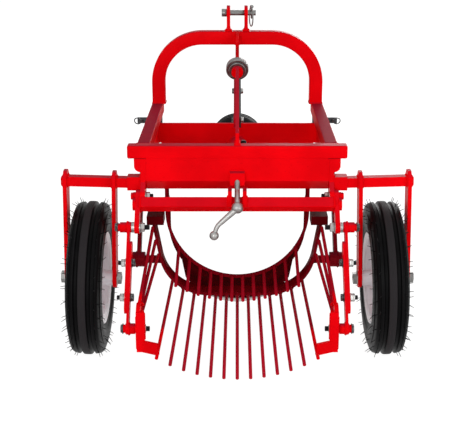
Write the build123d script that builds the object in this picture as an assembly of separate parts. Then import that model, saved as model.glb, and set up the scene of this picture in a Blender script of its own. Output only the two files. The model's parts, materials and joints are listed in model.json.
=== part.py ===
from build123d import *
import math
import os

# Sweet potato harvester: a tractor-mounted digger with a fixed U share and a swinging tine sieve.
# Millimetres, +Z up, +Y towards the tractor, +X to the right seen from behind.
# Y is counted from the wheel axle while building; the finished pieces are centred in Y at the end.

# Wheels and forks
TYRE_OD = 477.0
TYRE_WIDTH = 108.0
TYRE_SHOULDER = 30.0
TYRE_SIDEWALL = 95.5
RIM_FLANGE_OD = TYRE_OD - 2 * TYRE_SIDEWALL
RIM_LIP = 16.0
RIM_SEAT_OD = RIM_FLANGE_OD - 2 * RIM_LIP
RIM_WIDTH = 92.0
RIM_WALL = 5.0
RIM_DISC = 6.0
HUB_OD = 48.0
AXLE_DIA = 20.0
WHEEL_X = 454.0
WHEEL_CAMBER = 1.6
FORK_GAP = 135.0
FORK_PLATE = 12.0
FORK_WIDTH = 60.0
FORK_ABOVE_BAR = 18.0
FORK_CHAMFER = 18.0
BAR_SIZE = 30.0
BAR_OVER_TYRE = 59.0
BAR_OVERHANG = 8.0
BAR_IN_STUB = 34.0
STUB_SIZE = 42.0
STUB_LENGTH = 42.0
AXLE_NUT_AF = 34.0
AXLE_NUT_HEIGHT = 14.0

# Frame
FRAME_TUBE = 40.0
RAIL_OUTER_X = 302.0
FRAME_TOP_Z = 666.0
REAR_FACE_Y = -25.0
REAR_TUBE_OVERHANG = 27.0
FRAME_FRONT_Y = 640.0
CHEEK_OUTER_X = 290.0
CHEEK_PLATE = 14.0
CHEEK_BOTTOM_Z = 533.0
CHEEK_SHOULDER = 19.0
CHEEK_SHOULDER_DROP = 22.0
CHEEK_LUG = 24.0
CHEEK_LUG_ROOT = (5.0, 548.0)
BEAM_PLATE = 12.0
BEAM_HEIGHT = 70.0
BEAM_FRONT_Y = 565.0

# Mast
MAST_TUBE = 46.0
MAST_OUTER_X = 300.0
MAST_TOP_Z = 918.0
MAST_CORNER = 178.0
CLEVIS_GAP = 49.0
CLEVIS_PLATE = 12.0
CLEVIS_WIDTH = 50.0
TOP_PIN_DIA = 19.0
TOP_PIN_HEAD = 27.0
TOP_PIN_Z = 980.0
TOP_PIN_LENGTH = 118.0
TOP_PIN_ASIDE = 5.0

# Lower hitch pins
HITCH_PIN_DIA = 22.0
HITCH_PIN_LENGTH = 46.0
HITCH_PIN_Y = 616.0
HITCH_PIN_Z = 600.0
HITCH_LUG_PLATE = 20.0
HITCH_LUG_RADIUS = 32.0
HITCH_COLLAR_DIA = 38.0
HITCH_COLLAR = 8.0
HITCH_TAIL_DIA = 20.0
HITCH_NUT_AF = 34.0
HITCH_NUT_HEIGHT = 14.0

# Stay from the rear tube to the mast
STAY_FLAT = 11.0
STAY_STRAP = 6.0
STAY_STRAP_FROM = 0.13
STAY_STRAP_TO = 0.5
STAY_STRAP_HEIGHT = 38.0
STAY_HEIGHT = 44.0
STAY_RING_AT = 0.66
STAY_BOSS_DIA = 38.0
STAY_BOSS_LENGTH = 60.0
STAY_RING_OD = 74.0
STAY_RING_LENGTH = 22.0
STAY_BAR = 12.0

# Drive
HOUSING_DEPTH = 130.0
HOUSING_TOP_Z = 620.0
HOUSING_CREASE_Z = 558.0
HOUSING_BOTTOM_Z = 522.0
HOUSING_CHAMFER = 40.0
GEARBOX_LENGTH = 190.0
GEARBOX_WIDTH = 160.0
GEARBOX_REAR_Z = (497.0, 606.0)
GEARBOX_FRONT_Z = (468.0, 590.0)
PTO_Z = 521.0
PTO_TUBE_OD = 72.0
PTO_JOURNAL_DIA = 40.0
PTO_SHAFT_DIA = 35.0
PTO_SHAFT_LENGTH = 118.0
PTO_SHAFT_END_Y = 692.0
GUARD_OD = 184.0
GUARD_LENGTH = 105.0
GUARD_WALL = 5.0
GUARD_NECK_OD = 120.0
GUARD_SEAT_OD = 52.0

# Adjuster
ARM_PIVOT = (-36.0, 514.0)
ROCKER_TOP = (-105.0, 438.0)
ARM_PLATE = 14.0
ARM_WIDTH = 38.0
ARM_BOSS_DIA = 38.0
ARM_BOSS = 8.0
ADJUSTER_TUBE = 33.0
ADJUSTER_AT = (-61.0, 496.0)

# Sieve linkage
LINK_VECTOR = (-195.0, -240.0)
HANGER_FOOT = (-25.0, 308.0)
LINK_PIN_DIA = 18.0
LINK_COLLAR_DIA = 25.0
LINK_BUSH_OD = 31.0
LINK_BAR = 12.0
ROCKER_BAR = 8.0
LINK_WIDTH = 34.0
LINK_LAP = 0.2
ROCKER_SPACER = 10.0
ROCKER_BUSH = 33.0
ROCKER_BAR_INSET = 3.0
FOOT_SPACER = 6.0
FOOT_BUSH = 27.0
HANGER_SPACER = 6.0
HANGER_BUSH_OD = 46.0
HANGER_BUSH = 38.0
PIN_HEAD = 6.0
PIN_HEAD_DIA = 24.0

# Sieve
SIEVE_STRAP = 8.0
SIEVE_DEPTH = 60.0
SIEVE_TOP_X = 261.0
SIEVE_TOP_Z = 455.0
SIEVE_BOTTOM_X = 215.6
SIEVE_BOTTOM_Z = 200.0
SIEVE_RADIUS = 150.0
SIEVE_EAR_X = (222.0, 273.0)
SIEVE_EAR_HEIGHT = 27.0
TINE_DIA = 10.0
TINE_COUNT = 13
TINE_ROOT_X = 198.0
TINE_TIP_X = 227.0
TINE_TIP_Y = -375.0
TINE_TIP_Z = 78.0
TINE_TIP_ARC = 445.0
BRACKET_PLATE = 12.0
BRACKET_X = 286.0
BRACKET_RADIUS = 34.0
BRACKET_DROP = 58.0
BRACKET_RISE = 78.0
BRACKET_LIP = 24.0
BRACKET_LIP_PLATE = 8.0
BRACKET_LIP_DROP = 14.0
FLANGE_PLATE = 10.0
FLANGE_HEIGHT = 34.0
FLANGE_REAR_Y = -350.0
SIDE_ROD_ROOT_Z = (432.0, 388.0, 342.0)
SIDE_ROD_FOOT_Z = (266.0, 242.0, 218.0)

# Share
SHARE_RADIUS = 222.0
SHARE_STRAP = 8.0
SHARE_CENTRE_Z = 448.0
SHARE_REAR_Y = 25.0
SHARE_DEPTH = 80.0
SHARE_RIM = 14.0
SHARE_CHEEK = 150.0
BLADE_HALF_ANGLE = 55.0
BLADE_SLOPE = 34.0
SHARE_TINE_DIA = 10.0
SHARE_TINE_COUNT = 12
SHARE_TINE_SPAN = 182.0
SHARE_TINE_LENGTH = 193.0
SHARE_TINE_ARC = 355.0

# Crank
CRANK_ROD_DIA = 16.0
CRANK_ROD_TAIL = 5.0
CRANK_HUB_OD = 34.0
CRANK_HUB_LENGTH = 24.0
CRANK_ARM_DIA = 15.0
CRANK_BALL_DIA = 28.0
CRANK_HUB_AT = (0.0, -120.0, 502.0)
CRANK_ELBOW_AT = (-62.0, -137.0, 450.0)
CRANK_BALL_AT = (-68.0, -140.0, 424.0)
CRANK_NUT_Z = 572.0
CRANK_NUT_SIZE = (44.0, 30.0, 36.0)
CRANK_LUG_PLATE = 12.0
CRANK_LUG_GAP = 32.0
CRANK_LUG_REAR = 34.0
CRANK_LUG_FRONT = 10.0
CRANK_LUG_HEIGHT = 50.0

# Clearances
RUN = 0.08
PLAY = 0.5
SLIDE = 0.5

# Farther than any piece reaches, for half-space cuts
FAR = 5 * TYRE_OD

SIDES = (("left", -1), ("right", 1))


def block(x0, x1, y0, y1, z0, z1):
    """Box between two corners, given as low and high values on each axis."""
    centre = ((x0 + x1) / 2, (y0 + y1) / 2, (z0 + z1) / 2)
    return Pos(*centre) * Box(abs(x1 - x0), abs(y1 - y0), abs(z1 - z0))


def rod(start, end, diameter):
    """Round bar from one point to another."""
    run = Vector(*end) - Vector(*start)
    seat = Plane(origin=start, z_dir=run)
    return seat * Cylinder(diameter / 2, run.length, align=(Align.CENTER, Align.CENTER, Align.MIN))


def cross_rod(x0, x1, place, diameter):
    """Round bar along X at a (Y, Z) place."""
    return rod((min(x0, x1), place[0], place[1]), (max(x0, x1), place[0], place[1]), diameter)


def hexagon_x(x0, x1, place, across_flats):
    """Hexagon prism along X at a (Y, Z) place."""
    seat = Plane(origin=(min(x0, x1), place[0], place[1]), x_dir=(0, 1, 0), z_dir=(1, 0, 0))
    outline = RegularPolygon(across_flats / 2, 6, major_radius=False)
    return extrude(seat * outline, abs(x1 - x0))


def side_plate(x0, x1, outline):
    """Plate in the YZ plane made from a (Y, Z) sketch, between two X values."""
    seat = Plane(origin=(min(x0, x1), 0, 0), x_dir=(0, 1, 0), z_dir=(1, 0, 0))
    return extrude(seat * outline, abs(x1 - x0))


def link_outline(first, second, width):
    """Round-ended bar between two (Y, Z) places."""
    middle = ((first[0] + second[0]) / 2, (first[1] + second[1]) / 2)
    run = (second[0] - first[0], second[1] - first[1])
    turn = math.degrees(math.atan2(run[1], run[0]))
    return Pos(*middle) * Rot(0, 0, turn) * SlotCenterToCenter(math.hypot(*run), width)


def turned(profile, x_axis_place):
    """Solid of revolution about a line along X; the profile holds (X, radius) points."""
    face = make_face(Polyline(*profile, close=True))
    seat = Plane(origin=(0, x_axis_place[0], x_axis_place[1]), x_dir=(1, 0, 0), z_dir=(0, -1, 0))
    return revolve(seat * face, axis=Axis((0, *x_axis_place), (1, 0, 0)))


def shifted(place, run):
    return (place[0] + run[0], place[1] + run[1])


pieces = {}

# Mast arch: square tube bent to an inverted U, standing on the rails
mast_rear_y = FRAME_FRONT_Y - MAST_TUBE
arch_seat = Plane(origin=(0, FRAME_FRONT_Y, 0), x_dir=(1, 0, 0), z_dir=(0, -1, 0))


def arch_outline(half_width, top_z, corner):
    height = top_z - FRAME_TOP_Z
    outline = Pos(0, FRAME_TOP_Z + height / 2) * Rectangle(2 * half_width, height)
    return fillet(outline.vertices().sort_by(Axis.Y)[-2:], corner)


arch_face = arch_outline(MAST_OUTER_X, MAST_TOP_Z, MAST_CORNER)
arch_face -= arch_outline(MAST_OUTER_X - MAST_TUBE, MAST_TOP_Z - MAST_TUBE, MAST_CORNER - MAST_TUBE)
pieces["mast_arch"] = extrude(arch_seat * arch_face, MAST_TUBE)
mast_mid_y = FRAME_FRONT_Y - MAST_TUBE / 2

# Top link clevis and its pin
clevis_place = (mast_mid_y, TOP_PIN_Z)
clevis_rise = TOP_PIN_Z - MAST_TOP_Z
clevis_foot = Pos(mast_mid_y, MAST_TOP_Z + clevis_rise / 2) * Rectangle(CLEVIS_WIDTH, clevis_rise)
clevis_outline = clevis_foot + Pos(*clevis_place) * Circle(CLEVIS_WIDTH / 2)
clevis_outline -= Pos(*clevis_place) * Circle(TOP_PIN_DIA / 2 + SLIDE / 2)
clevis_outer_x = CLEVIS_GAP / 2 + CLEVIS_PLATE
pieces["top_link_clevis"] = Part() + [
    side_plate(side * CLEVIS_GAP / 2, side * clevis_outer_x, clevis_outline) for _, side in SIDES
]
pin_left = -TOP_PIN_LENGTH / 2 + TOP_PIN_ASIDE
pieces["top_pin"] = cross_rod(pin_left, pin_left + TOP_PIN_LENGTH, clevis_place, TOP_PIN_DIA)
pieces["top_pin"] += cross_rod(pin_left, -clevis_outer_x - SLIDE, clevis_place, TOP_PIN_HEAD)

# Rails, rear tube and front beam
rear_tube_front_y = REAR_FACE_Y + FRAME_TUBE
rail_inner_x = RAIL_OUTER_X - FRAME_TUBE
frame_low_z = FRAME_TOP_Z - FRAME_TUBE
cheek_inner_x = CHEEK_OUTER_X - CHEEK_PLATE
for name, side in SIDES:
    pieces[name + "_rail"] = block(
        side * rail_inner_x, side * RAIL_OUTER_X, rear_tube_front_y, FRAME_FRONT_Y, frame_low_z, FRAME_TOP_Z
    )
half_rear = RAIL_OUTER_X + REAR_TUBE_OVERHANG
pieces["rear_tube"] = block(-half_rear, half_rear, REAR_FACE_Y, rear_tube_front_y, frame_low_z, FRAME_TOP_Z)
beam_rear_y = BEAM_FRONT_Y - BEAM_PLATE
beam_top_z = CHEEK_BOTTOM_Z + BEAM_HEIGHT
beam = block(-cheek_inner_x, cheek_inner_x, beam_rear_y, BEAM_FRONT_Y, CHEEK_BOTTOM_Z, beam_top_z)


def along_y(y0, y1, diameter):
    """Round bar on the drive line between two Y values."""
    return rod((0, y0, PTO_Z), (0, y1, PTO_Z), diameter)


pieces["front_beam"] = beam - along_y(beam_rear_y, BEAM_FRONT_Y, PTO_TUBE_OD)

# Side plates under the rails: a rounded shoulder on top, lugs for the adjuster arm and the hanger's pin
hanger_top = (HANGER_FOOT[0] - LINK_VECTOR[0], HANGER_FOOT[1] - LINK_VECTOR[1])
hanger_x = CHEEK_OUTER_X + HANGER_SPACER
hanger_head_x = hanger_x + LINK_BAR + PLAY
bore_dia = LINK_PIN_DIA + 2 * RUN
shoulder_z = frame_low_z - CHEEK_SHOULDER_DROP
shoulder_x = CHEEK_OUTER_X + CHEEK_SHOULDER
round_mid = CHEEK_SHOULDER * math.sqrt(0.5)
cheek_seat = Plane(origin=(0, BEAM_FRONT_Y, 0), x_dir=(1, 0, 0), z_dir=(0, -1, 0))
cheek_lugs = link_outline(ARM_PIVOT, CHEEK_LUG_ROOT, 2 * CHEEK_LUG) + Pos(*hanger_top) * Circle(CHEEK_LUG)
for name, side in SIDES:
    shoulder_arc = ThreePointArc(
        (side * CHEEK_OUTER_X, shoulder_z - CHEEK_SHOULDER),
        (side * (CHEEK_OUTER_X + round_mid), shoulder_z - round_mid),
        (side * shoulder_x, shoulder_z),
    )
    straight = Polyline(
        (side * shoulder_x, shoulder_z),
        (side * shoulder_x, frame_low_z),
        (side * cheek_inner_x, frame_low_z),
        (side * cheek_inner_x, CHEEK_BOTTOM_Z),
        (side * CHEEK_OUTER_X, CHEEK_BOTTOM_Z),
        (side * CHEEK_OUTER_X, shoulder_z - CHEEK_SHOULDER),
    )
    cheek = extrude(cheek_seat * make_face([shoulder_arc, straight]), BEAM_FRONT_Y - REAR_FACE_Y)
    cheek += side_plate(side * cheek_inner_x, side * CHEEK_OUTER_X, cheek_lugs)
    cheek += cross_rod(side * CHEEK_OUTER_X, side * (hanger_x - PLAY), hanger_top, LINK_BUSH_OD)
    cheek += cross_rod(side * CHEEK_OUTER_X, side * hanger_head_x, hanger_top, LINK_PIN_DIA)
    cheek += cross_rod(side * hanger_head_x, side * (hanger_head_x + PIN_HEAD), hanger_top, PIN_HEAD_DIA)
    pieces[name + "_side_plate"] = cheek

# Lower hitch: lug under each rail's front end, and the pin bolted through it
hitch_place = (HITCH_PIN_Y, HITCH_PIN_Z)
lug_outline = Pos(*hitch_place) * Circle(HITCH_LUG_RADIUS)
lug_top = frame_low_z - HITCH_PIN_Z
lug_outline += Pos(HITCH_PIN_Y, HITCH_PIN_Z + lug_top / 2) * Rectangle(2 * HITCH_LUG_RADIUS, lug_top)
lug_outline &= Pos(HITCH_PIN_Y, HITCH_PIN_Z + lug_top - 2 * HITCH_LUG_RADIUS) * Rectangle(
    4 * HITCH_LUG_RADIUS, 4 * HITCH_LUG_RADIUS
)
lug_outline -= Pos(*hitch_place) * Circle(HITCH_TAIL_DIA / 2 + SLIDE / 2)
lug_inner_x = RAIL_OUTER_X - HITCH_LUG_PLATE
for name, side in SIDES:
    lug = side_plate(side * lug_inner_x, side * RAIL_OUTER_X, lug_outline)
    pieces[name + "_hitch_lug"] = lug & block(
        side * lug_inner_x, side * RAIL_OUTER_X, BEAM_FRONT_Y, FRAME_FRONT_Y, 0, frame_low_z
    )
    collar_x = RAIL_OUTER_X + HITCH_COLLAR
    pin = cross_rod(side * RAIL_OUTER_X, side * collar_x, hitch_place, HITCH_COLLAR_DIA)
    pin += cross_rod(side * collar_x, side * (collar_x + HITCH_PIN_LENGTH), hitch_place, HITCH_PIN_DIA)
    nut_x = lug_inner_x - HITCH_NUT_HEIGHT
    pin += cross_rod(side * nut_x, side * RAIL_OUTER_X, hitch_place, HITCH_TAIL_DIA)
    pin += hexagon_x(side * nut_x, side * lug_inner_x, hitch_place, HITCH_NUT_AF)
    pieces[name + "_hitch_pin"] = pin

# Stay: a flat with a bolted strap from the rear tube to a boss with a steel ring, and a bar to the mast
stay_start = (REAR_FACE_Y + FRAME_TUBE / 2, FRAME_TOP_Z + STAY_HEIGHT / 2)
stay_end = (mast_rear_y, MAST_TOP_Z - MAST_TUBE / 2)
stay_run = (stay_end[0] - stay_start[0], stay_end[1] - stay_start[1])
stay_length = math.hypot(*stay_run)
stay_seat = Plane(origin=(0, *stay_start), x_dir=(1, 0, 0), z_dir=(0, stay_run[0], stay_run[1]))
boss_from = STAY_RING_AT * stay_length - STAY_BOSS_LENGTH / 2
boss_to = boss_from + STAY_BOSS_LENGTH


def on_stay(outline, start, end):
    """Solid along the stay between two distances from its lower end."""
    return extrude(stay_seat * Pos(0, 0, start) * outline, end - start)


stay_clear = block(-FAR, FAR, REAR_FACE_Y, mast_rear_y, FRAME_TOP_Z, FAR)
flat_outline = Rectangle(STAY_FLAT, STAY_HEIGHT)
pieces["stay_flat"] = on_stay(flat_outline, -STAY_HEIGHT, boss_from) & stay_clear
strap_outline = Pos((STAY_FLAT + STAY_STRAP) / 2, 0) * Rectangle(STAY_STRAP, STAY_STRAP_HEIGHT)
pieces["stay_strap"] = on_stay(strap_outline, STAY_STRAP_FROM * stay_length, STAY_STRAP_TO * stay_length)
pieces["stay_boss"] = on_stay(Circle(STAY_BOSS_DIA / 2), boss_from, boss_to)
bar_outline = Rectangle(STAY_BAR, STAY_HEIGHT)
pieces["stay_bar"] = on_stay(bar_outline, boss_to, stay_length + STAY_HEIGHT) & stay_clear
ring_from = STAY_RING_AT * stay_length - STAY_RING_LENGTH / 2
ring_outline = Circle(STAY_RING_OD / 2) - Circle(STAY_BOSS_DIA / 2 + RUN)
pieces["stay_ring"] = on_stay(ring_outline, ring_from, ring_from + STAY_RING_LENGTH)

# Drive housing across the frame, gearbox, drive tube, shaft and guard
housing_front_y = REAR_FACE_Y + HOUSING_DEPTH
housing_section = make_face(Polyline(
    (REAR_FACE_Y, frame_low_z),
    (REAR_FACE_Y, HOUSING_CREASE_Z),
    (REAR_FACE_Y + HOUSING_CHAMFER, HOUSING_BOTTOM_Z),
    (housing_front_y, HOUSING_BOTTOM_Z),
    (housing_front_y, HOUSING_TOP_Z),
    (rear_tube_front_y, HOUSING_TOP_Z),
    (rear_tube_front_y, frame_low_z),
    close=True,
))
pieces["drive_housing"] = side_plate(-cheek_inner_x, cheek_inner_x, housing_section)
gearbox_front_y = housing_front_y + GEARBOX_LENGTH
half_box = GEARBOX_WIDTH / 2
gearbox_section = make_face(Polyline(
    (housing_front_y, GEARBOX_REAR_Z[0]),
    (housing_front_y, GEARBOX_REAR_Z[1]),
    (gearbox_front_y, GEARBOX_FRONT_Z[1]),
    (gearbox_front_y, GEARBOX_FRONT_Z[0]),
    close=True,
))
pieces["gearbox"] = side_plate(-half_box, half_box, gearbox_section)
drive_tube = along_y(gearbox_front_y, BEAM_FRONT_Y, PTO_TUBE_OD)
pieces["drive_tube"] = drive_tube - along_y(gearbox_front_y, BEAM_FRONT_Y, PTO_JOURNAL_DIA + 2 * RUN)
shaft_step_y = PTO_SHAFT_END_Y - PTO_SHAFT_LENGTH
shaft = along_y(gearbox_front_y + PLAY, shaft_step_y, PTO_JOURNAL_DIA)
pieces["pto_shaft"] = shaft + along_y(shaft_step_y, PTO_SHAFT_END_Y, PTO_SHAFT_DIA)
guard_profile = make_face(Polyline(
    (GUARD_SEAT_OD / 2, BEAM_FRONT_Y),
    (GUARD_NECK_OD / 2, BEAM_FRONT_Y),
    (GUARD_OD / 2, BEAM_FRONT_Y + GUARD_LENGTH / 2),
    (GUARD_OD / 2, BEAM_FRONT_Y + GUARD_LENGTH),
    (GUARD_OD / 2 - GUARD_WALL, BEAM_FRONT_Y + GUARD_LENGTH),
    (GUARD_OD / 2 - GUARD_WALL, BEAM_FRONT_Y + GUARD_LENGTH / 2),
    (GUARD_NECK_OD / 2 - GUARD_WALL, BEAM_FRONT_Y + GUARD_WALL),
    (GUARD_SEAT_OD / 2, BEAM_FRONT_Y + GUARD_WALL),
    close=True,
))
guard_seat = Plane(origin=(0, 0, PTO_Z), x_dir=(1, 0, 0), z_dir=(0, 0, 1))
pieces["pto_guard"] = revolve(guard_seat * guard_profile, axis=Axis((0, 0, PTO_Z), (0, 1, 0)))

# Wheel profiles: welded rim with a centre disc and a hub tube, and a tyre on it
half_rim = RIM_WIDTH / 2
half_hub = FORK_GAP / 2 - PLAY
half_tyre = TYRE_WIDTH / 2
half_disc = RIM_DISC / 2
hub_bore = AXLE_DIA / 2 + RUN
rim_profile = [
    (-half_hub, hub_bore),
    (half_hub, hub_bore),
    (half_hub, HUB_OD / 2),
    (half_disc, HUB_OD / 2),
    (half_disc, RIM_SEAT_OD / 2 - RIM_WALL),
    (half_rim - RIM_WALL, RIM_SEAT_OD / 2 - RIM_WALL),
    (half_rim, RIM_FLANGE_OD / 2 - RIM_WALL),
    (half_rim, RIM_FLANGE_OD / 2),
    (half_rim - RIM_WALL, RIM_FLANGE_OD / 2),
    (half_rim - 2 * RIM_WALL, RIM_SEAT_OD / 2),
    (-half_rim + 2 * RIM_WALL, RIM_SEAT_OD / 2),
    (-half_rim + RIM_WALL, RIM_FLANGE_OD / 2),
    (-half_rim, RIM_FLANGE_OD / 2),
    (-half_rim, RIM_FLANGE_OD / 2 - RIM_WALL),
    (-half_rim + RIM_WALL, RIM_SEAT_OD / 2 - RIM_WALL),
    (-half_disc, RIM_SEAT_OD / 2 - RIM_WALL),
    (-half_disc, HUB_OD / 2),
    (-half_hub, HUB_OD / 2),
]
bead = half_rim - 2 * RIM_WALL
tyre_radius = TYRE_OD / 2
tyre_profile = [
    (-bead, RIM_SEAT_OD / 2),
    (bead, RIM_SEAT_OD / 2),
    (half_rim - RIM_WALL, RIM_FLANGE_OD / 2),
    (half_tyre, (RIM_FLANGE_OD / 2 + tyre_radius) / 2),
    (half_tyre - TYRE_SHOULDER / 3, tyre_radius - TYRE_SHOULDER),
    (half_tyre - TYRE_SHOULDER, tyre_radius - TYRE_SHOULDER / 4),
    (TYRE_WIDTH / 9, tyre_radius),
    (-TYRE_WIDTH / 9, tyre_radius),
    (-half_tyre + TYRE_SHOULDER, tyre_radius - TYRE_SHOULDER / 4),
    (-half_tyre + TYRE_SHOULDER / 3, tyre_radius - TYRE_SHOULDER),
    (-half_tyre, (RIM_FLANGE_OD / 2 + tyre_radius) / 2),
    (-half_rim + RIM_WALL, RIM_FLANGE_OD / 2),
]

# The wheels lean, feet outwards; each carrier is built round its wheel's centre and then set there
camber = math.radians(WHEEL_CAMBER)
axle_z = max(r * math.cos(camber) + x * math.sin(camber) for x, r in tyre_profile)
CENTRE = (0.0, 0.0)


def carrier(side):
    return Pos(side * WHEEL_X, 0, axle_z) * Rot(0, -side * WHEEL_CAMBER, 0)


half_bar = BAR_SIZE / 2
half_stub = STUB_SIZE / 2
bar_rise = tyre_radius + BAR_OVER_TYRE + half_bar
fork_top = bar_rise + half_bar + FORK_ABOVE_BAR
fork_inner = FORK_GAP / 2
fork_outer = fork_inner + FORK_PLATE
nut_end = fork_outer + AXLE_NUT_HEIGHT
stub_end_x = CHEEK_OUTER_X + STUB_LENGTH
bar_start_x = stub_end_x - BAR_IN_STUB
stub_mid_x = CHEEK_OUTER_X + STUB_LENGTH / 2
bar_slope = (stub_mid_x - WHEEL_X + bar_rise * math.sin(camber)) * math.tan(camber)
stub_z = axle_z + bar_rise * math.cos(camber) + bar_slope
socket = half_bar + STUB_LENGTH / 2 * math.tan(camber) + SLIDE / 2
fork_blank = Pos(0, fork_top / 2) * Rectangle(FORK_WIDTH, fork_top)
fork_outline = chamfer(fork_blank.vertices().sort_by(Axis.Y)[-2:], FORK_CHAMFER)
fork_outline += Circle(FORK_WIDTH / 2)
fork_outline -= Pos(0, bar_rise) * Rectangle(BAR_SIZE, BAR_SIZE)
fork_outline -= Circle(AXLE_DIA / 2)
for name, side in SIDES:
    stub = block(
        side * CHEEK_OUTER_X, side * stub_end_x, -half_stub, half_stub,
        stub_z - half_stub, stub_z + half_stub
    )
    stub -= block(side * bar_start_x, side * stub_end_x, -socket, socket, stub_z - socket, stub_z + socket)
    pieces[name + "_bar_socket"] = stub
    bar = carrier(side) * block(
        -side * WHEEL_X, side * (fork_outer + BAR_OVERHANG), -half_bar, half_bar,
        bar_rise - half_bar, bar_rise + half_bar
    )
    pieces[name + "_wheel_bar"] = bar & block(side * bar_start_x, side * FAR, -FAR, FAR, 0, FAR)
    fork = Part() + [
        side_plate(-fork_outer, -fork_inner, fork_outline),
        side_plate(fork_inner, fork_outer, fork_outline),
    ]
    pieces[name + "_fork_plates"] = carrier(side) * fork
    axle = cross_rod(-nut_end, nut_end, CENTRE, AXLE_DIA)
    axle += hexagon_x(-nut_end, -fork_outer, CENTRE, AXLE_NUT_AF)
    axle += hexagon_x(fork_outer, nut_end, CENTRE, AXLE_NUT_AF)
    pieces[name + "_axle"] = carrier(side) * axle
    pieces[name + "_rim"] = carrier(side) * turned(rim_profile, CENTRE)
    pieces[name + "_tyre"] = carrier(side) * turned(tyre_profile, CENTRE)

# Adjuster: arms hung on the side plates, joined by a square tube set on edge
arm_outline = link_outline(ARM_PIVOT, ROCKER_TOP, ARM_WIDTH)
arm_inner_x = CHEEK_OUTER_X
arm_outer_x = arm_inner_x + ARM_PLATE
rocker_in_x = arm_outer_x + ROCKER_SPACER
rocker_out_x = rocker_in_x + ROCKER_BUSH
rocker_head_x = rocker_out_x + PLAY
for name, side in SIDES:
    arm = side_plate(side * arm_inner_x, side * arm_outer_x, arm_outline)
    arm += cross_rod(side * arm_outer_x, side * (rocker_in_x - PLAY), ROCKER_TOP, LINK_COLLAR_DIA)
    arm += cross_rod(side * arm_inner_x, side * rocker_head_x, ROCKER_TOP, LINK_PIN_DIA)
    arm += cross_rod(side * rocker_head_x, side * (rocker_head_x + PIN_HEAD), ROCKER_TOP, PIN_HEAD_DIA)
    arm += cross_rod(side * arm_outer_x, side * (arm_outer_x + PIN_HEAD), ARM_PIVOT, PIN_HEAD_DIA)
    arm += cross_rod(side * arm_outer_x, side * (arm_outer_x + ARM_BOSS), ADJUSTER_AT, ARM_BOSS_DIA)
    pieces[name + "_adjuster_arm"] = arm
adjuster_section = Pos(*ADJUSTER_AT) * Rot(0, 0, 45) * Rectangle(ADJUSTER_TUBE, ADJUSTER_TUBE)
pieces["adjuster_tube"] = side_plate(-arm_inner_x, arm_inner_x, adjuster_section)
for name, _ in SIDES:
    pieces[name + "_side_plate"] -= pieces["adjuster_tube"]

# Links of one length, all parallel: rockers of two lapped flats at the rear, hangers at the front
rocker_foot = shifted(ROCKER_TOP, LINK_VECTOR)
foot_in_x = BRACKET_X + FOOT_SPACER
foot_out_x = foot_in_x + FOOT_BUSH
foot_head_x = foot_out_x + PLAY
lap_x = rocker_in_x + ROCKER_BAR_INSET
lap_from = shifted(ROCKER_TOP, [LINK_LAP * step for step in LINK_VECTOR])
lap_to = shifted(ROCKER_TOP, [(1 - LINK_LAP) * step for step in LINK_VECTOR])
upper_outline = link_outline(ROCKER_TOP, lap_to, LINK_WIDTH)
lower_outline = link_outline(lap_from, rocker_foot, LINK_WIDTH)
hanger_outline = link_outline(hanger_top, HANGER_FOOT, LINK_WIDTH)
hanger_bush_x = hanger_x + LINK_BAR / 2 - HANGER_BUSH / 2
hanger_bush_end_x = hanger_bush_x + HANGER_BUSH
for name, side in SIDES:
    rocker = side_plate(side * lap_x, side * (lap_x + ROCKER_BAR), upper_outline)
    rocker += side_plate(side * (lap_x - ROCKER_BAR), side * lap_x, lower_outline)
    rocker += cross_rod(side * rocker_in_x, side * rocker_out_x, ROCKER_TOP, LINK_BUSH_OD)
    rocker += cross_rod(side * foot_in_x, side * foot_out_x, rocker_foot, LINK_BUSH_OD)
    rocker -= cross_rod(side * rocker_in_x, side * rocker_out_x, ROCKER_TOP, bore_dia)
    rocker -= cross_rod(side * foot_in_x, side * foot_out_x, rocker_foot, bore_dia)
    pieces[name + "_rocker"] = rocker
    hanger = side_plate(side * hanger_x, side * (hanger_x + LINK_BAR), hanger_outline)
    hanger += cross_rod(side * hanger_bush_x, side * hanger_bush_end_x, HANGER_FOOT, HANGER_BUSH_OD)
    hanger -= cross_rod(side * hanger_bush_x, side * hanger_bush_end_x, HANGER_FOOT, bore_dia)
    hanger -= cross_rod(side * hanger_x, side * (hanger_x + LINK_BAR), hanger_top, bore_dia)
    pieces[name + "_hanger"] = hanger

# Sieve: U strap with stub pins, fan of tines, and a side frame at each rear corner
sieve_front_y = HANGER_FOOT[0] + SIEVE_DEPTH / 2
sieve_rear_y = sieve_front_y - SIEVE_DEPTH
front_seat = Plane(origin=(0, sieve_front_y, 0), x_dir=(1, 0, 0), z_dir=(0, -1, 0))


def u_outline(top_x, bottom_x, bottom_z, radius):
    points = ((-top_x, SIEVE_TOP_Z), (-bottom_x, bottom_z), (bottom_x, bottom_z), (top_x, SIEVE_TOP_Z))
    face = make_face(Polyline(*points, close=True))
    return fillet(face.vertices().sort_by(Axis.Y)[:2], radius)


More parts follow.
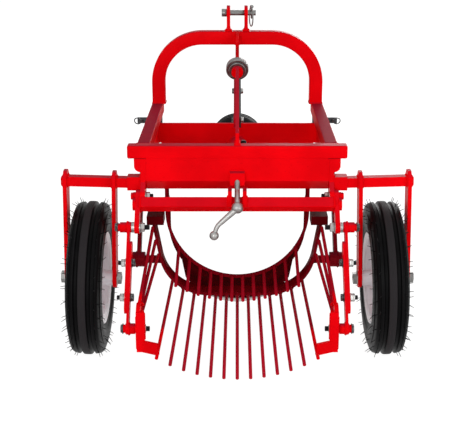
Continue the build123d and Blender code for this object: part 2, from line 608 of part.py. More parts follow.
lean = (SIEVE_TOP_X - SIEVE_BOTTOM_X) / (SIEVE_TOP_Z - SIEVE_BOTTOM_Z)
inner_top_x = SIEVE_TOP_X - SIEVE_STRAP * math.hypot(1, lean)
inner_bottom_x = inner_top_x - lean * (SIEVE_TOP_Z - SIEVE_BOTTOM_Z - SIEVE_STRAP)
strap = u_outline(SIEVE_TOP_X, SIEVE_BOTTOM_X, SIEVE_BOTTOM_Z, SIEVE_RADIUS)
stub_shoulder_x = hanger_bush_x - PLAY
stub_tip_x = hanger_bush_end_x + PLAY
inner_z = SIEVE_BOTTOM_Z + SIEVE_STRAP
inner_outline = u_outline(inner_top_x, inner_bottom_x, inner_z, SIEVE_RADIUS - SIEVE_STRAP)
strap_hole = extrude(front_seat * inner_outline, SIEVE_DEPTH)
ear_low_z = SIEVE_TOP_Z - SIEVE_EAR_HEIGHT
sieve_band = extrude(front_seat * strap, SIEVE_DEPTH) - strap_hole
for _, side in SIDES:
    stub = cross_rod(side * SIEVE_BOTTOM_X, side * stub_shoulder_x, HANGER_FOOT, LINK_COLLAR_DIA)
    stub += cross_rod(side * stub_shoulder_x, side * stub_tip_x, HANGER_FOOT, LINK_PIN_DIA)
    stub += cross_rod(side * stub_tip_x, side * (stub_tip_x + PIN_HEAD), HANGER_FOOT, PIN_HEAD_DIA)
    sieve_band += stub - strap_hole
    sieve_band += block(
        side * SIEVE_EAR_X[0], side * SIEVE_EAR_X[1], sieve_rear_y, sieve_front_y, ear_low_z, SIEVE_TOP_Z
    )
pieces["sieve_band"] = sieve_band


def strap_z(x):
    """Height of the middle of the U strap at a distance from its centre line."""
    flat = SIEVE_BOTTOM_X - SIEVE_RADIUS * math.tan(math.atan2(1, lean) / 2)
    radius = SIEVE_RADIUS - SIEVE_STRAP / 2
    base = SIEVE_BOTTOM_Z + SIEVE_STRAP / 2
    over = abs(x) - flat
    if over <= 0:
        return base
    return base + radius - math.sqrt(radius ** 2 - over ** 2)


def tine_tip_z(x):
    return TINE_TIP_Z + TINE_TIP_ARC - math.sqrt(TINE_TIP_ARC ** 2 - x ** 2)


behind_band = block(-FAR, FAR, -FAR, sieve_rear_y, -FAR, FAR)


def tine(share):
    """One sieve tine; share runs from -1 at the left to 1 at the right."""
    root = (share * TINE_ROOT_X, sieve_rear_y, strap_z(share * TINE_ROOT_X))
    tip = (share * TINE_TIP_X, TINE_TIP_Y, tine_tip_z(share * TINE_TIP_X))
    back = Vector(*root) + (Vector(*root) - Vector(*tip)).normalized() * 2 * TINE_DIA
    return rod(tuple(back), tip, TINE_DIA) & behind_band


shares = [2 * i / (TINE_COUNT - 1) - 1 for i in range(TINE_COUNT)]
pieces["sieve_tines"] = Part() + [tine(share) for share in shares[1:-1]]
bracket_in_x = BRACKET_X - BRACKET_PLATE
bracket_mid_x = BRACKET_X - BRACKET_PLATE / 2
bracket_low_z = rocker_foot[1] - BRACKET_DROP
bracket_outline = link_outline(
    (rocker_foot[0], bracket_low_z + BRACKET_RADIUS),
    (rocker_foot[0], rocker_foot[1] + BRACKET_RISE - BRACKET_RADIUS),
    2 * BRACKET_RADIUS,
)
bracket_outline += Pos(rocker_foot[0], bracket_low_z + BRACKET_RADIUS / 2) * Rectangle(
    2 * BRACKET_RADIUS, BRACKET_RADIUS
)
flange_start = (bracket_mid_x, rocker_foot[0] - BRACKET_RADIUS + FLANGE_PLATE)
flange_end = (TINE_TIP_X, FLANGE_REAR_Y)
flange_run = (flange_end[0] - flange_start[0], flange_end[1] - flange_start[1])
flange_length = math.hypot(*flange_run) + FLANGE_PLATE
flange_turn = math.degrees(math.atan2(flange_run[1], flange_run[0]))
flange_mid = ((flange_start[0] + flange_end[0]) / 2, (flange_start[1] + flange_end[1]) / 2)
flange_mid_z = bracket_low_z + FLANGE_HEIGHT / 2
lip_rear_y = rocker_foot[0] - BRACKET_RADIUS
lip_top_z = rocker_foot[1] + BRACKET_RISE - BRACKET_LIP_DROP
for name, side in SIDES:
    frame_side = side_plate(side * bracket_in_x, side * BRACKET_X, bracket_outline)
    flange_place = Pos(side * flange_mid[0], flange_mid[1], flange_mid_z) * Rot(0, 0, side * flange_turn)
    frame_side += flange_place * Box(flange_length, FLANGE_PLATE, FLANGE_HEIGHT)
    frame_side += block(
        side * (BRACKET_X - BRACKET_LIP), side * BRACKET_X, lip_rear_y, lip_rear_y + BRACKET_LIP_PLATE,
        bracket_low_z, lip_top_z,
    )
    frame_side += tine(side)
    for root_z, foot_z in zip(SIDE_ROD_ROOT_Z, SIDE_ROD_FOOT_Z):
        root_x = SIEVE_TOP_X - lean * (SIEVE_TOP_Z - root_z) - SIEVE_STRAP / 2
        root = (side * root_x, sieve_rear_y + 2 * TINE_DIA, root_z)
        foot = (side * bracket_mid_x, rocker_foot[0], foot_z)
        frame_side += rod(root, foot, TINE_DIA) & behind_band
    frame_side += cross_rod(side * BRACKET_X, side * (foot_in_x - PLAY), rocker_foot, LINK_COLLAR_DIA)
    frame_side += cross_rod(side * (foot_in_x - PLAY), side * foot_head_x, rocker_foot, LINK_PIN_DIA)
    frame_side += cross_rod(side * foot_head_x, side * (foot_head_x + PIN_HEAD), rocker_foot, PIN_HEAD_DIA)
    pieces[name + "_sieve_side"] = frame_side

# Share: fixed U hoop whose cheeks and blade slope forward and down to the floor, and short tines behind
rim_y = SHARE_REAR_Y + SHARE_RIM
hoop_seat = Plane(origin=(0, rim_y, 0), x_dir=(1, 0, 0), z_dir=(0, -1, 0))
arm_height = HOUSING_BOTTOM_Z - SHARE_CENTRE_Z


def hoop_outline(radius):
    disc_face = Pos(0, SHARE_CENTRE_Z) * Circle(radius)
    return disc_face + Pos(0, SHARE_CENTRE_Z + arm_height / 2) * Rectangle(2 * radius, arm_height)


share_inner = SHARE_RADIUS - SHARE_STRAP
below_housing = Pos(0, HOUSING_BOTTOM_Z - FAR / 2) * Rectangle(FAR, FAR)
hoop = (hoop_outline(SHARE_RADIUS) & below_housing) - hoop_outline(share_inner)
hoop -= Pos(0, SHARE_CENTRE_Z + FAR / 2) * Rectangle(2 * share_inner, FAR)
rim = extrude(hoop_seat * hoop, SHARE_RIM)
blade_drop = SHARE_CENTRE_Z - SHARE_RADIUS
blade_length = blade_drop / math.sin(math.radians(BLADE_SLOPE))
edge_x = math.sin(math.radians(BLADE_HALF_ANGLE))
edge_z = math.cos(math.radians(BLADE_HALF_ANGLE))


def arc_edge(radius):
    return ThreePointArc(
        (-radius * edge_x, SHARE_CENTRE_Z - radius * edge_z),
        (0, SHARE_CENTRE_Z - radius),
        (radius * edge_x, SHARE_CENTRE_Z - radius * edge_z),
    )


lower = arc_edge(SHARE_RADIUS)
upper = arc_edge(share_inner)
blade_face = make_face([lower, upper, Line(lower @ 0, upper @ 0), Line(lower @ 1, upper @ 1)])
blade_run = (0, math.cos(math.radians(BLADE_SLOPE)), -math.sin(math.radians(BLADE_SLOPE)))
pieces["share_blade"] = extrude(hoop_seat * blade_face, blade_length, dir=blade_run)
blade_sector = make_face(Polyline(
    (0, SHARE_CENTRE_Z),
    (-FAR * edge_x, SHARE_CENTRE_Z - FAR * edge_z),
    (FAR * edge_x, SHARE_CENTRE_Z - FAR * edge_z),
    close=True,
))
share_hoop = rim + extrude(hoop_seat * (hoop - blade_sector), SHARE_CHEEK, dir=blade_run)
for _, side in SIDES:
    share_hoop += block(
        side * share_inner, side * SHARE_RADIUS, rim_y, SHARE_REAR_Y + SHARE_DEPTH, SHARE_CENTRE_Z, HOUSING_BOTTOM_Z
    )
pieces["share_hoop"] = share_hoop
share_tines = []
share_mid = SHARE_RADIUS - SHARE_STRAP / 2
behind_share = block(-FAR, FAR, -FAR, SHARE_REAR_Y, -FAR, FAR)
for i in range(SHARE_TINE_COUNT):
    x = SHARE_TINE_SPAN * (2 * i / (SHARE_TINE_COUNT - 1) - 1)
    root_z = SHARE_CENTRE_Z - math.sqrt(share_mid ** 2 - x ** 2)
    tip_z = SHARE_CENTRE_Z - share_mid + x ** 2 / (2 * SHARE_TINE_ARC)
    root = Vector(x, SHARE_REAR_Y, root_z)
    tip = Vector(x, SHARE_REAR_Y - SHARE_TINE_LENGTH, tip_z)
    back = root + (root - tip).normalized() * 2 * SHARE_TINE_DIA
    share_tines.append(rod(tuple(back), tuple(tip), SHARE_TINE_DIA) & behind_share)
pieces["share_tines"] = Part() + share_tines

# Crank: nut block on the housing, screw, hub, bent arm and ball
half_nut = CRANK_NUT_SIZE[0] / 2
nut_block = block(
    -half_nut, half_nut, REAR_FACE_Y - CRANK_NUT_SIZE[1], REAR_FACE_Y,
    CRANK_NUT_Z - CRANK_NUT_SIZE[2] / 2, CRANK_NUT_Z + CRANK_NUT_SIZE[2] / 2
)
crank_start = Vector(0, REAR_FACE_Y - CRANK_NUT_SIZE[1] / 2, CRANK_NUT_Z)
crank_hub = Vector(*CRANK_HUB_AT)
crank_run = (crank_hub - crank_start).normalized()


def on_crank(middle_point, before, after, diameter):
    """Round bar along the screw, reaching before and after a point on it."""
    return rod(tuple(middle_point - crank_run * before), tuple(middle_point + crank_run * after), diameter)


screw_hole = on_crank(crank_start, 2 * half_nut, 2 * half_nut, CRANK_ROD_DIA + SLIDE)
pieces["crank_nut"] = nut_block - (screw_hole & nut_block)
crank = on_crank(crank_start, CRANK_ROD_TAIL, (crank_hub - crank_start).length, CRANK_ROD_DIA)
crank += on_crank(crank_hub, CRANK_HUB_LENGTH / 2, CRANK_HUB_LENGTH / 2, CRANK_HUB_OD)
crank += rod(CRANK_HUB_AT, CRANK_ELBOW_AT, CRANK_ARM_DIA)
crank += Pos(*CRANK_ELBOW_AT) * Sphere(CRANK_ARM_DIA / 2)
crank += rod(CRANK_ELBOW_AT, CRANK_BALL_AT, CRANK_ARM_DIA)
crank += Pos(*CRANK_BALL_AT) * Sphere(CRANK_BALL_DIA / 2)
pieces["crank"] = crank
lugs = Part()
lug_in_x = CRANK_LUG_GAP / 2
for _, side in SIDES:
    lugs += block(
        side * lug_in_x, side * (lug_in_x + CRANK_LUG_PLATE),
        ADJUSTER_AT[0] - CRANK_LUG_REAR, ADJUSTER_AT[0] + CRANK_LUG_FRONT,
        ADJUSTER_AT[1], ADJUSTER_AT[1] + CRANK_LUG_HEIGHT
    )
pieces["crank_lugs"] = lugs - pieces["adjuster_tube"]

front_most = max(piece.bounding_box().max.Y for piece in pieces.values())
rear_most = min(piece.bounding_box().min.Y for piece in pieces.values())
middle_y = (front_most + rear_most) / 2
print("length", front_most - rear_most, "axle at Y", -middle_y, "Z", axle_z)
os.makedirs("parts", exist_ok=True)
for node, piece in pieces.items():
    export_step(Pos(0, -middle_y, 0) * piece, "parts/" + node + ".step")
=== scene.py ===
"""Looks of the sweet potato harvester: tyres, fasteners, welds, finishes and the studio round the part."""

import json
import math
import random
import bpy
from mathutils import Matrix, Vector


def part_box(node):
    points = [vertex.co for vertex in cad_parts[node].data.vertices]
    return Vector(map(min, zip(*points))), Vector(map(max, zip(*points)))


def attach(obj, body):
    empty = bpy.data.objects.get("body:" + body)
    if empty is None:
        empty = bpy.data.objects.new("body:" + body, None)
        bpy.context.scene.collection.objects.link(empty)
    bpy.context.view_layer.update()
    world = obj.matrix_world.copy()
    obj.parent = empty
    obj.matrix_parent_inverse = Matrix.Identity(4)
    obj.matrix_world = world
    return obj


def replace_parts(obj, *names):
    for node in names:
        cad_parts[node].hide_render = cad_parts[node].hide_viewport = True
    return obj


bl_info = {
    "name": "Sweet potato harvester dresser",
    "version": (1, 0, 0),
    "blender": (4, 5, 0),
    "location": "View3D > Sidebar > Harvester",
    "description": "Dresses the packed harvester with tyres, fasteners, welds and finishes",
    "category": "Object",
}

import bmesh
import bpy
from bpy.props import FloatProperty, FloatVectorProperty, IntProperty, PointerProperty
from mathutils import Vector

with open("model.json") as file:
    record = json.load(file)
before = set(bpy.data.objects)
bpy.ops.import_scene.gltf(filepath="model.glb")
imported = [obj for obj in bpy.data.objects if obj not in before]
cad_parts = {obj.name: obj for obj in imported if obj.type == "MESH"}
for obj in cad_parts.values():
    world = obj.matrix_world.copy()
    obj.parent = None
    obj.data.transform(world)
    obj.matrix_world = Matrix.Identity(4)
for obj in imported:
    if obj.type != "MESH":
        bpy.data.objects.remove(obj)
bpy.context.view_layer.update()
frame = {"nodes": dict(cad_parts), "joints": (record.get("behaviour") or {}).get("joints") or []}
SIDES = (("left", -1), ("right", 1))
MM = 0.001
X, Y, Z = Vector((1, 0, 0)), Vector((0, 1, 0)), Vector((0, 0, 1))


def middle(node):
    """Middle of a node's box."""
    low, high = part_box(node)
    return (low + high) / 2


def mm(*pairs):
    """Pairs given in millimetres, in metres."""
    return [(first * MM, second * MM) for first, second in pairs]


JOINTS = {joint["name"]: joint for joint in frame["joints"]}
AXLE_Y = middle("left_axle").y
AXLE_Z = middle("left_axle").z
TYRE_RADIUS = (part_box("right_tyre")[1].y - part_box("right_tyre")[0].y) / 2
FORK_INNER, FORK_OUTER = 67.5, 79.5  # faces of the fork plates, in millimetres from the wheel's middle
HAIR_ROOM = (FORK_INNER - 2.5) * MM  # how far sideways a tyre's hairs may reach


def at(x, y, z):
    """Point given in millimetres, with Y counted from the wheel axle, as a vector in metres."""
    return Vector((x * MM, AXLE_Y + y * MM, z * MM))


def pivot(joint):
    """Y from the wheel axle and height of a joint, in millimetres."""
    place = JOINTS[joint]["pos_m"]
    return Vector(((place[1] - AXLE_Y) / MM, place[2] / MM))


ROCKER_TOP = pivot("rocker_swing")
ROCKER_FOOT = pivot("sieve_swing")
HANGER_TOP = pivot("hanger_swing")
HANGER_FOOT = HANGER_TOP + ROCKER_FOOT - ROCKER_TOP


class Wheel:
    """Centre and leaning axes of one wheel, taken from its joint."""

    def __init__(self, name, side):
        joint = JOINTS[name + "_wheel_spin"]
        self.hub = Vector(joint["pos_m"])
        self.along = Vector(joint["axis"]).normalized()
        self.out = self.along * side
        self.ahead = Y
        self.up = self.along.cross(self.ahead)

    def point(self, out, ahead, up):
        """Point in millimetres from the hub: outwards along the axle, ahead and up."""
        return self.hub + (self.out * out + self.ahead * ahead + self.up * up) * MM

    def around(self, angle):
        """Direction square to the axle, at an angle from straight up."""
        return self.ahead * math.sin(angle) + self.up * math.cos(angle)


def tint(name, description, value):
    """Setting of a colour."""
    return FloatVectorProperty(
        name=name, description=description, subtype="COLOR", size=4, default=(*value, 1.0))


def span(name, description, value, low, high):
    """Setting of a length, given in millimetres."""
    return FloatProperty(
        name=name, description=description, default=value * MM, min=low * MM, max=high * MM,
        subtype="DISTANCE", unit="LENGTH")


def level(name, description, value):
    """Setting of a lamp's power or a strength."""
    return FloatProperty(name=name, description=description, default=value)


class FinishSettings(bpy.types.PropertyGroup):
    """Colours of the finishes"""

    red: tint("Red enamel", "Colour of the painted frame", (0.88, 0.0012, 0.0045))
    crimson: tint("Crimson enamel", "Colour of the painted sieve and tines", (0.45, 0.005, 0.016))
    zinc: tint("Zinc plate", "Colour of nuts, washers and pins", (0.4, 0.395, 0.385))
    blackened: tint("Blackened steel", "Colour of the dark bolt heads and ends", (0.035, 0.035, 0.038))
    rubber: tint("Tyre rubber", "Colour of the tyres", (0.0035, 0.0034, 0.0037))
    rim: tint("Rim paint", "Colour of the wheel rims", (0.9, 0.91, 0.94))
    guard: tint("Guard plastic", "Colour of the shaft guard", (0.006, 0.006, 0.0065))


class DetailSettings(bpy.types.PropertyGroup):
    """Sizes of the added details"""

    edge_round: span("Edge rounding", "Rounding of sheared plate edges", 1.4, 0.2, 4)
    tube_corner: span("Tube corner", "Corner radius of the square tubes", 5, 1, 10)
    weld_size: span("Weld size", "Radius of the fillet weld beads", 3.6, 1, 8)
    weld_pitch: span("Weld ripple", "Distance between two ripples of a weld", 3.2, 1, 8)
    groove_depth: span("Tread groove", "Depth of the two tread grooves", 10, 2, 14)
    hair_length: span("Rubber hair", "Longest of the moulding hairs left on a new tyre", 19, 2, 24)
    hair_count: IntProperty(
        name="Hairs per row", description="Moulding hairs in each row round a tyre", default=27,
        min=0, max=80)
    bolt_flats: span("Bolt size", "Across flats of the linkage bolts", 23, 8, 30)


class StageSettings(bpy.types.PropertyGroup):
    """Studio, lamps and camera"""

    lens: FloatProperty(
        name="Lens", description="Focal length on a 36 mm sensor", default=79.4, min=20, max=200)
    pitch: FloatProperty(
        name="Pitch", description="How far the camera looks down", default=math.radians(17.99),
        subtype="ANGLE", unit="ROTATION")
    camera_place: FloatVectorProperty(
        name="Camera", description="Place of the camera", subtype="TRANSLATION", unit="LENGTH",
        default=(0.0, AXLE_Y - 3.025, 1.4184))
    aside: FloatProperty(
        name="Aside", description="Sideways shift of the picture, as a share of its width", default=-0.0038)
    key_power: level("Key lamp", "Power of the lamp beside the camera", 60.0)
    top_power: level("Top lamp", "Power of the lamp overhead", 7.0)
    fill_power: level("Fill lamp", "Power of the lamp on the far side", 24.0)
    front_power: level("Front lamp", "Power of the lamp before the tractor end", 60.0)
    ambient: level("Ambient", "Strength of the even light all round", 0.42)


class Wire:
    """A shader socket; sums written on it add Math nodes."""

    def __init__(self, graph, socket):
        self.graph = graph
        self.socket = socket

    def _math(self, operation, *values):
        """Math node fed by wires or numbers."""
        return self.graph.add("ShaderNodeMath", {"operation": operation}, dict(enumerate(values)))

    def __add__(self, other):
        return self._math("ADD", self, other)

    __radd__ = __add__

    def __sub__(self, other):
        return self._math("SUBTRACT", self, other)

    def __rsub__(self, other):
        return self._math("SUBTRACT", other, self)

    def __mul__(self, other):
        return self._math("MULTIPLY", self, other)

    __rmul__ = __mul__

    def __pow__(self, other):
        return self._math("POWER", self, other)

    def ramp(self, start, end):
        """Smooth step from 0 to 1 as the value goes from start to end."""
        return self.graph.add(
            "ShaderNodeMapRange", {"interpolation_type": "SMOOTHSTEP"}, {0: self, 1: start, 2: end})


class Graph:
    """Node tree of a material or world, with its shader ready to be fed."""

    def __init__(self, owner, shader="Principled BSDF"):
        owner.use_nodes = True
        self.owner = owner
        self.tree = owner.node_tree
        self.shader = self.tree.nodes[shader]

    def add(self, kind, settings=None, inputs=None, output=0):
        """New node of a type; settings first, then socket values or links; gives one output."""
        node = self.tree.nodes.new(kind)
        for key, value in (settings or {}).items():
            setattr(node, key, value)
        for key, value in (inputs or {}).items():
            self.feed(node.inputs[key], value)
        return Wire(self, node.outputs[output])

    def feed(self, socket, value):
        """Links a wire to a socket, or sets the socket's value."""
        if isinstance(value, Wire):
            self.tree.links.new(value.socket, socket)
        else:
            socket.default_value = value

    def set(self, **values):
        """Values or links of the shader's sockets, with underscores for spaces."""
        for key, value in values.items():
            self.feed(self.shader.inputs[key.replace("_", " ")], value)
        return self.owner

    def coords(self):
        """Place in the part's frame."""
        return self.add("ShaderNodeTexCoord", output="Object")

    def noise(self, scale, detail=3.0, rough=0.5, stretch=None):
        """Soft noise from 0 to 1."""
        place = self.coords()
        if stretch:
            place = self.add("ShaderNodeVectorMath", {"operation": "MULTIPLY"}, {0: place, 1: stretch})
        inputs = {"Vector": place, "Scale": scale, "Detail": detail, "Roughness": rough}
        return self.add("ShaderNodeTexNoise", None, inputs)

    def cells(self, scale):
        """Distance to the nearest of scattered points."""
        return self.add("ShaderNodeTexVoronoi", None, {"Vector": self.coords(), "Scale": scale}, "Distance")

    def mix(self, factor, first, second):
        """Colour between two colours."""
        return self.add(
            "ShaderNodeMix", {"data_type": "RGBA", "clamp_factor": True}, {0: factor, 6: first, 7: second}, 2)

    def part(self, axis, vector=None):
        """One coordinate of a vector, or of the place if none is given."""
        return self.add("ShaderNodeSeparateXYZ", None, {0: vector or self.coords()}, axis)

    def upward(self):
        """How far the surface faces up, from -1 to 1."""
        return self.part("Z", self.add("ShaderNodeNewGeometry", output="Normal"))

    def edges(self, start, end):
        """Mask of the mesh's outward edges, or of its hollows where the end is lower than the start."""
        return self.add("ShaderNodeNewGeometry", output="Pointiness").ramp(start, end)

    def bump(self, height, strength, distance):
        """Surface direction of a fine relief."""
        relief = {"Height": height, "Strength": strength, "Distance": distance}
        return self.add("ShaderNodeBump", None, relief, "Normal")

    def cloud(self):
        """Mask of a faint large cloudiness."""
        return self.noise(6.5, 3.0).ramp(0.3, 0.72)

    def thin(self, start, share):
        """Mask of thin paint along the outward edges, in patches."""
        return self.edges(0.53, 0.6) * self.noise(120.0, 4.0, 0.7).ramp(start, 0.74) * share

    def peel(self):
        """Surface direction of sprayed paint, with its orange peel."""
        return self.bump(self.noise(520.0, 2.0) + 0.6 * self.noise(140.0, 2.0), 0.12, 0.35 * MM)

    def seen(self):
        """One for what the camera, a gloss or a clear surface sees."""
        camera, gloss, clear = [
            self.add("ShaderNodeLightPath", output="Is " + kind + " Ray")
            for kind in ("Camera", "Glossy", "Transmission")]
        clamped = {"operation": "ADD", "use_clamp": True}
        return self.add("ShaderNodeMath", clamped, {0: camera + gloss, 1: clear})


def surface(name):
    """Node tree of a new material."""
    return Graph(bpy.data.materials.new(name))


def shade(colour, share):
    """Colour made darker or lighter by a share."""
    return tuple(min(1.0, c * share) for c in colour[:3]) + (1.0,)


DULL_ZINC = (0.21, 0.19, 0.165, 1.0)
RUBBED_STEEL = (0.3, 0.29, 0.28, 1.0)
RUBBER_BLOOM = (0.011, 0.0105, 0.0115, 1.0)
# Paler crown colour: partly rubbed rubber, partly a painted highlight.
RUBBED_RUBBER = (0.034, 0.03, 0.032, 1.0)
DUST = (0.36, 0.33, 0.3, 1.0)
SCUFF = (0.02, 0.02, 0.021, 1.0)
SOIL = (0.03, 0.017, 0.012, 1.0)
WHITE = (1.0, 1.0, 1.0, 1.0)
FLOOR_TONES = ((0.8, 0.8, 0.8, 1.0), (0.83, 0.83, 0.83, 1.0))


def enamel(name, colour, gloss=0.26, chips=0.5, shine=0.01, dusk=0.85):
    """Sprayed gloss enamel: cloudiness, orange peel, a painted reflection and shade that makes faces turned
    up a darker, purplish red, and thin paint on edges.
    """
    g = surface(name)
    grime = g.noise(38.0, 5.0, 0.62)
    base = g.mix(g.cloud(), shade(colour, 0.86), shade(colour, 1.08))
    # Painted reflection and shade: faces turned up get a darker, purplish red in place of a sheen of the
    # surroundings.
    film = g.upward().ramp(0.55, 0.95) * (0.7 + 0.3 * grime) * dusk
    base = g.mix(film, base, (colour[0] * 0.42, colour[1] + 0.012, colour[2] + 0.03, 1.0))
    thin = g.thin(0.62 - 0.12 * chips, chips)
    base = g.mix(thin, base, shade(colour, 0.42))
    rough = gloss + 0.07 * grime + 0.08 * film + 0.25 * thin
    return g.set(Base_Color=base, Roughness=rough, Normal=g.peel(), Specular_IOR_Level=shine)


def two_tone(name, first, second, axis, start, end):
    """Enamel that changes along one axis from a first to a second tone of the same paint, to paint shade onto
    part of it.
    """
    g = surface(name)
    cloud = g.cloud()
    grime = g.noise(38.0, 5.0, 0.62)
    # Painted shade: this ramp along the axis swaps the first tone for the second, a lit and a shaded copy of
    # one paint.
    old = (g.part(axis) + 0.02 * grime).ramp(start, end)
    base = g.mix(cloud, shade(first, 0.86), shade(first, 1.08))
    worn = g.mix(cloud, shade(second, 0.8), shade(second, 1.1))
    base = g.mix(old, base, worn)
    thin = g.thin(0.56, 0.6)
    base = g.mix(thin, base, shade(second, 0.4))
    rough = 0.27 + 0.07 * grime + 0.05 * old + 0.2 * thin
    return g.set(Base_Color=base, Roughness=rough, Normal=g.peel(), Specular_IOR_Level=0.006)


def plated(name, colour, rough=0.3, spots=0.35):
    """Zinc plated or turned steel: small crystals, smears and a few dull spots."""
    g = surface(name)
    crystal = g.cells(420.0)
    smear = g.noise(60.0, 4.0, 0.6, (1.0, 1.0, 2.4))
    dull = g.noise(150.0, 3.0, 0.7).ramp(0.58, 0.74) * spots
    base = g.mix(smear, shade(colour, 0.72), shade(colour, 1.16))
    base = g.mix(dull, base, DULL_ZINC)
    roughness = rough + 0.16 * smear + 0.2 * dull
    normal = g.bump(crystal + smear, 0.18, 0.2 * MM)
    return g.set(Base_Color=base, Roughness=roughness, Metallic=1.0 - 0.45 * dull, Normal=normal)


def blackened(name, colour):
    """Oiled black steel with bright rubbed edges."""
    g = surface(name)
    smear = g.noise(90.0, 4.0, 0.6)
    rubbed = g.edges(0.54, 0.62) * g.noise(260.0, 3.0).ramp(0.4, 0.7)
    base = g.mix(smear, shade(colour, 0.6), shade(colour, 1.5))
    base = g.mix(rubbed * 0.6, base, RUBBED_STEEL)
    return g.set(
        Base_Color=base, Roughness=0.32 + 0.2 * smear, Metallic=0.75,
        Normal=g.bump(g.noise(700.0, 2.0), 0.15, 0.2 * MM))


def tyre_rubber(name, colour):
    """New moulded rubber: near black, with a faint bloom, release marks, grain and a paler crown that is
    partly rubbed rubber and partly a painted highlight.
    """
    g = surface(name)
    bloom = g.noise(14.0, 4.0, 0.6).ramp(0.45, 0.8)
    grain = g.noise(900.0, 2.0)
    marks = g.noise(55.0, 3.0, 0.6, (9.0, 1.0, 1.0))
    behind, above = g.part("Y") - AXLE_Y, g.part("Z") - AXLE_Z
    reach = (behind * behind + above * above) ** 0.5
    # Paler crown all round the tread: partly rubbed rubber, partly a painted highlight of the crown.
    rubbed = reach.ramp(TYRE_RADIUS - 3.4 * MM, TYRE_RADIUS - 0.8 * MM) * (0.55 + 0.45 * marks)
    base = g.mix(bloom * 0.3, shade(colour, 0.8), RUBBER_BLOOM)
    base = g.mix(rubbed * 0.85, base, RUBBED_RUBBER)
    rough = 0.34 + 0.16 * marks + 0.1 * bloom + 0.2 * rubbed
    return g.set(
        Base_Color=base, Roughness=rough, Specular_IOR_Level=0.04,
        Normal=g.bump(grain * 0.5 + marks, 0.22, 0.4 * MM))


def rim_enamel(name, colour):
    """Pale sprayed rim paint with dust in the corners."""
    g = surface(name)
    cloud = g.noise(11.0, 3.0).ramp(0.3, 0.7)
    dirt = g.noise(70.0, 5.0, 0.65).ramp(0.52, 0.78)
    hollow = g.edges(0.49, 0.44)
    base = g.mix(cloud, shade(colour, 0.94), shade(colour, 1.05))
    base = g.mix(dirt * 0.08 + hollow * 0.12, base, DUST)
    return g.set(
        Base_Color=base, Roughness=0.34 + 0.14 * dirt, Coat_Weight=0.15,
        Normal=g.bump(g.noise(480.0, 2.0), 0.1, 0.3 * MM))


def moulded_black(name, colour):
    """Grained black plastic."""
    g = surface(name)
    grain = g.cells(900.0)
    scuff = g.noise(45.0, 4.0, 0.6).ramp(0.5, 0.8)
    base = g.mix(scuff * 0.4, colour, SCUFF)
    return g.set(
        Base_Color=base, Roughness=0.42 + 0.18 * scuff, Specular_IOR_Level=0.05,
        Normal=g.bump(grain, 0.25, 0.3 * MM))


def worn_blade(name, colour, steel):
    """Paint darkened as painted shade, with soil, on a blade whose digging edge is rubbed to bare steel."""
    g = surface(name)
    ragged = g.noise(42.0, 5.0, 0.65)
    bare = (g.part("Z") + 0.03 * ragged).ramp(0.06, 0.035) * g.part("Y").ramp(AXLE_Y + 0.2, AXLE_Y + 0.3)
    streak = g.noise(30.0, 4.0, 0.6, (6.0, 0.6, 0.6))
    # The paint's colour comes in already darkened, as painted shade; the soil and the bare edge are wear.
    paint = g.mix(g.cloud(), shade(colour, 0.6), colour)
    soil = ragged.ramp(0.45, 0.7) * 0.45
    paint = g.mix(soil, paint, SOIL)
    metal = g.mix(streak, shade(steel, 0.8), shade(steel, 1.45))
    base = g.mix(bare, paint, metal)
    rough = 0.5 + 0.1 * ragged + bare * (0.2 * streak - 0.12)
    return g.set(
        Base_Color=base, Roughness=rough, Metallic=bare, Specular_IOR_Level=0.0,
        Normal=g.bump(g.noise(520.0, 2.0) + bare * streak, 0.14, 0.4 * MM))


FINISHES = {}


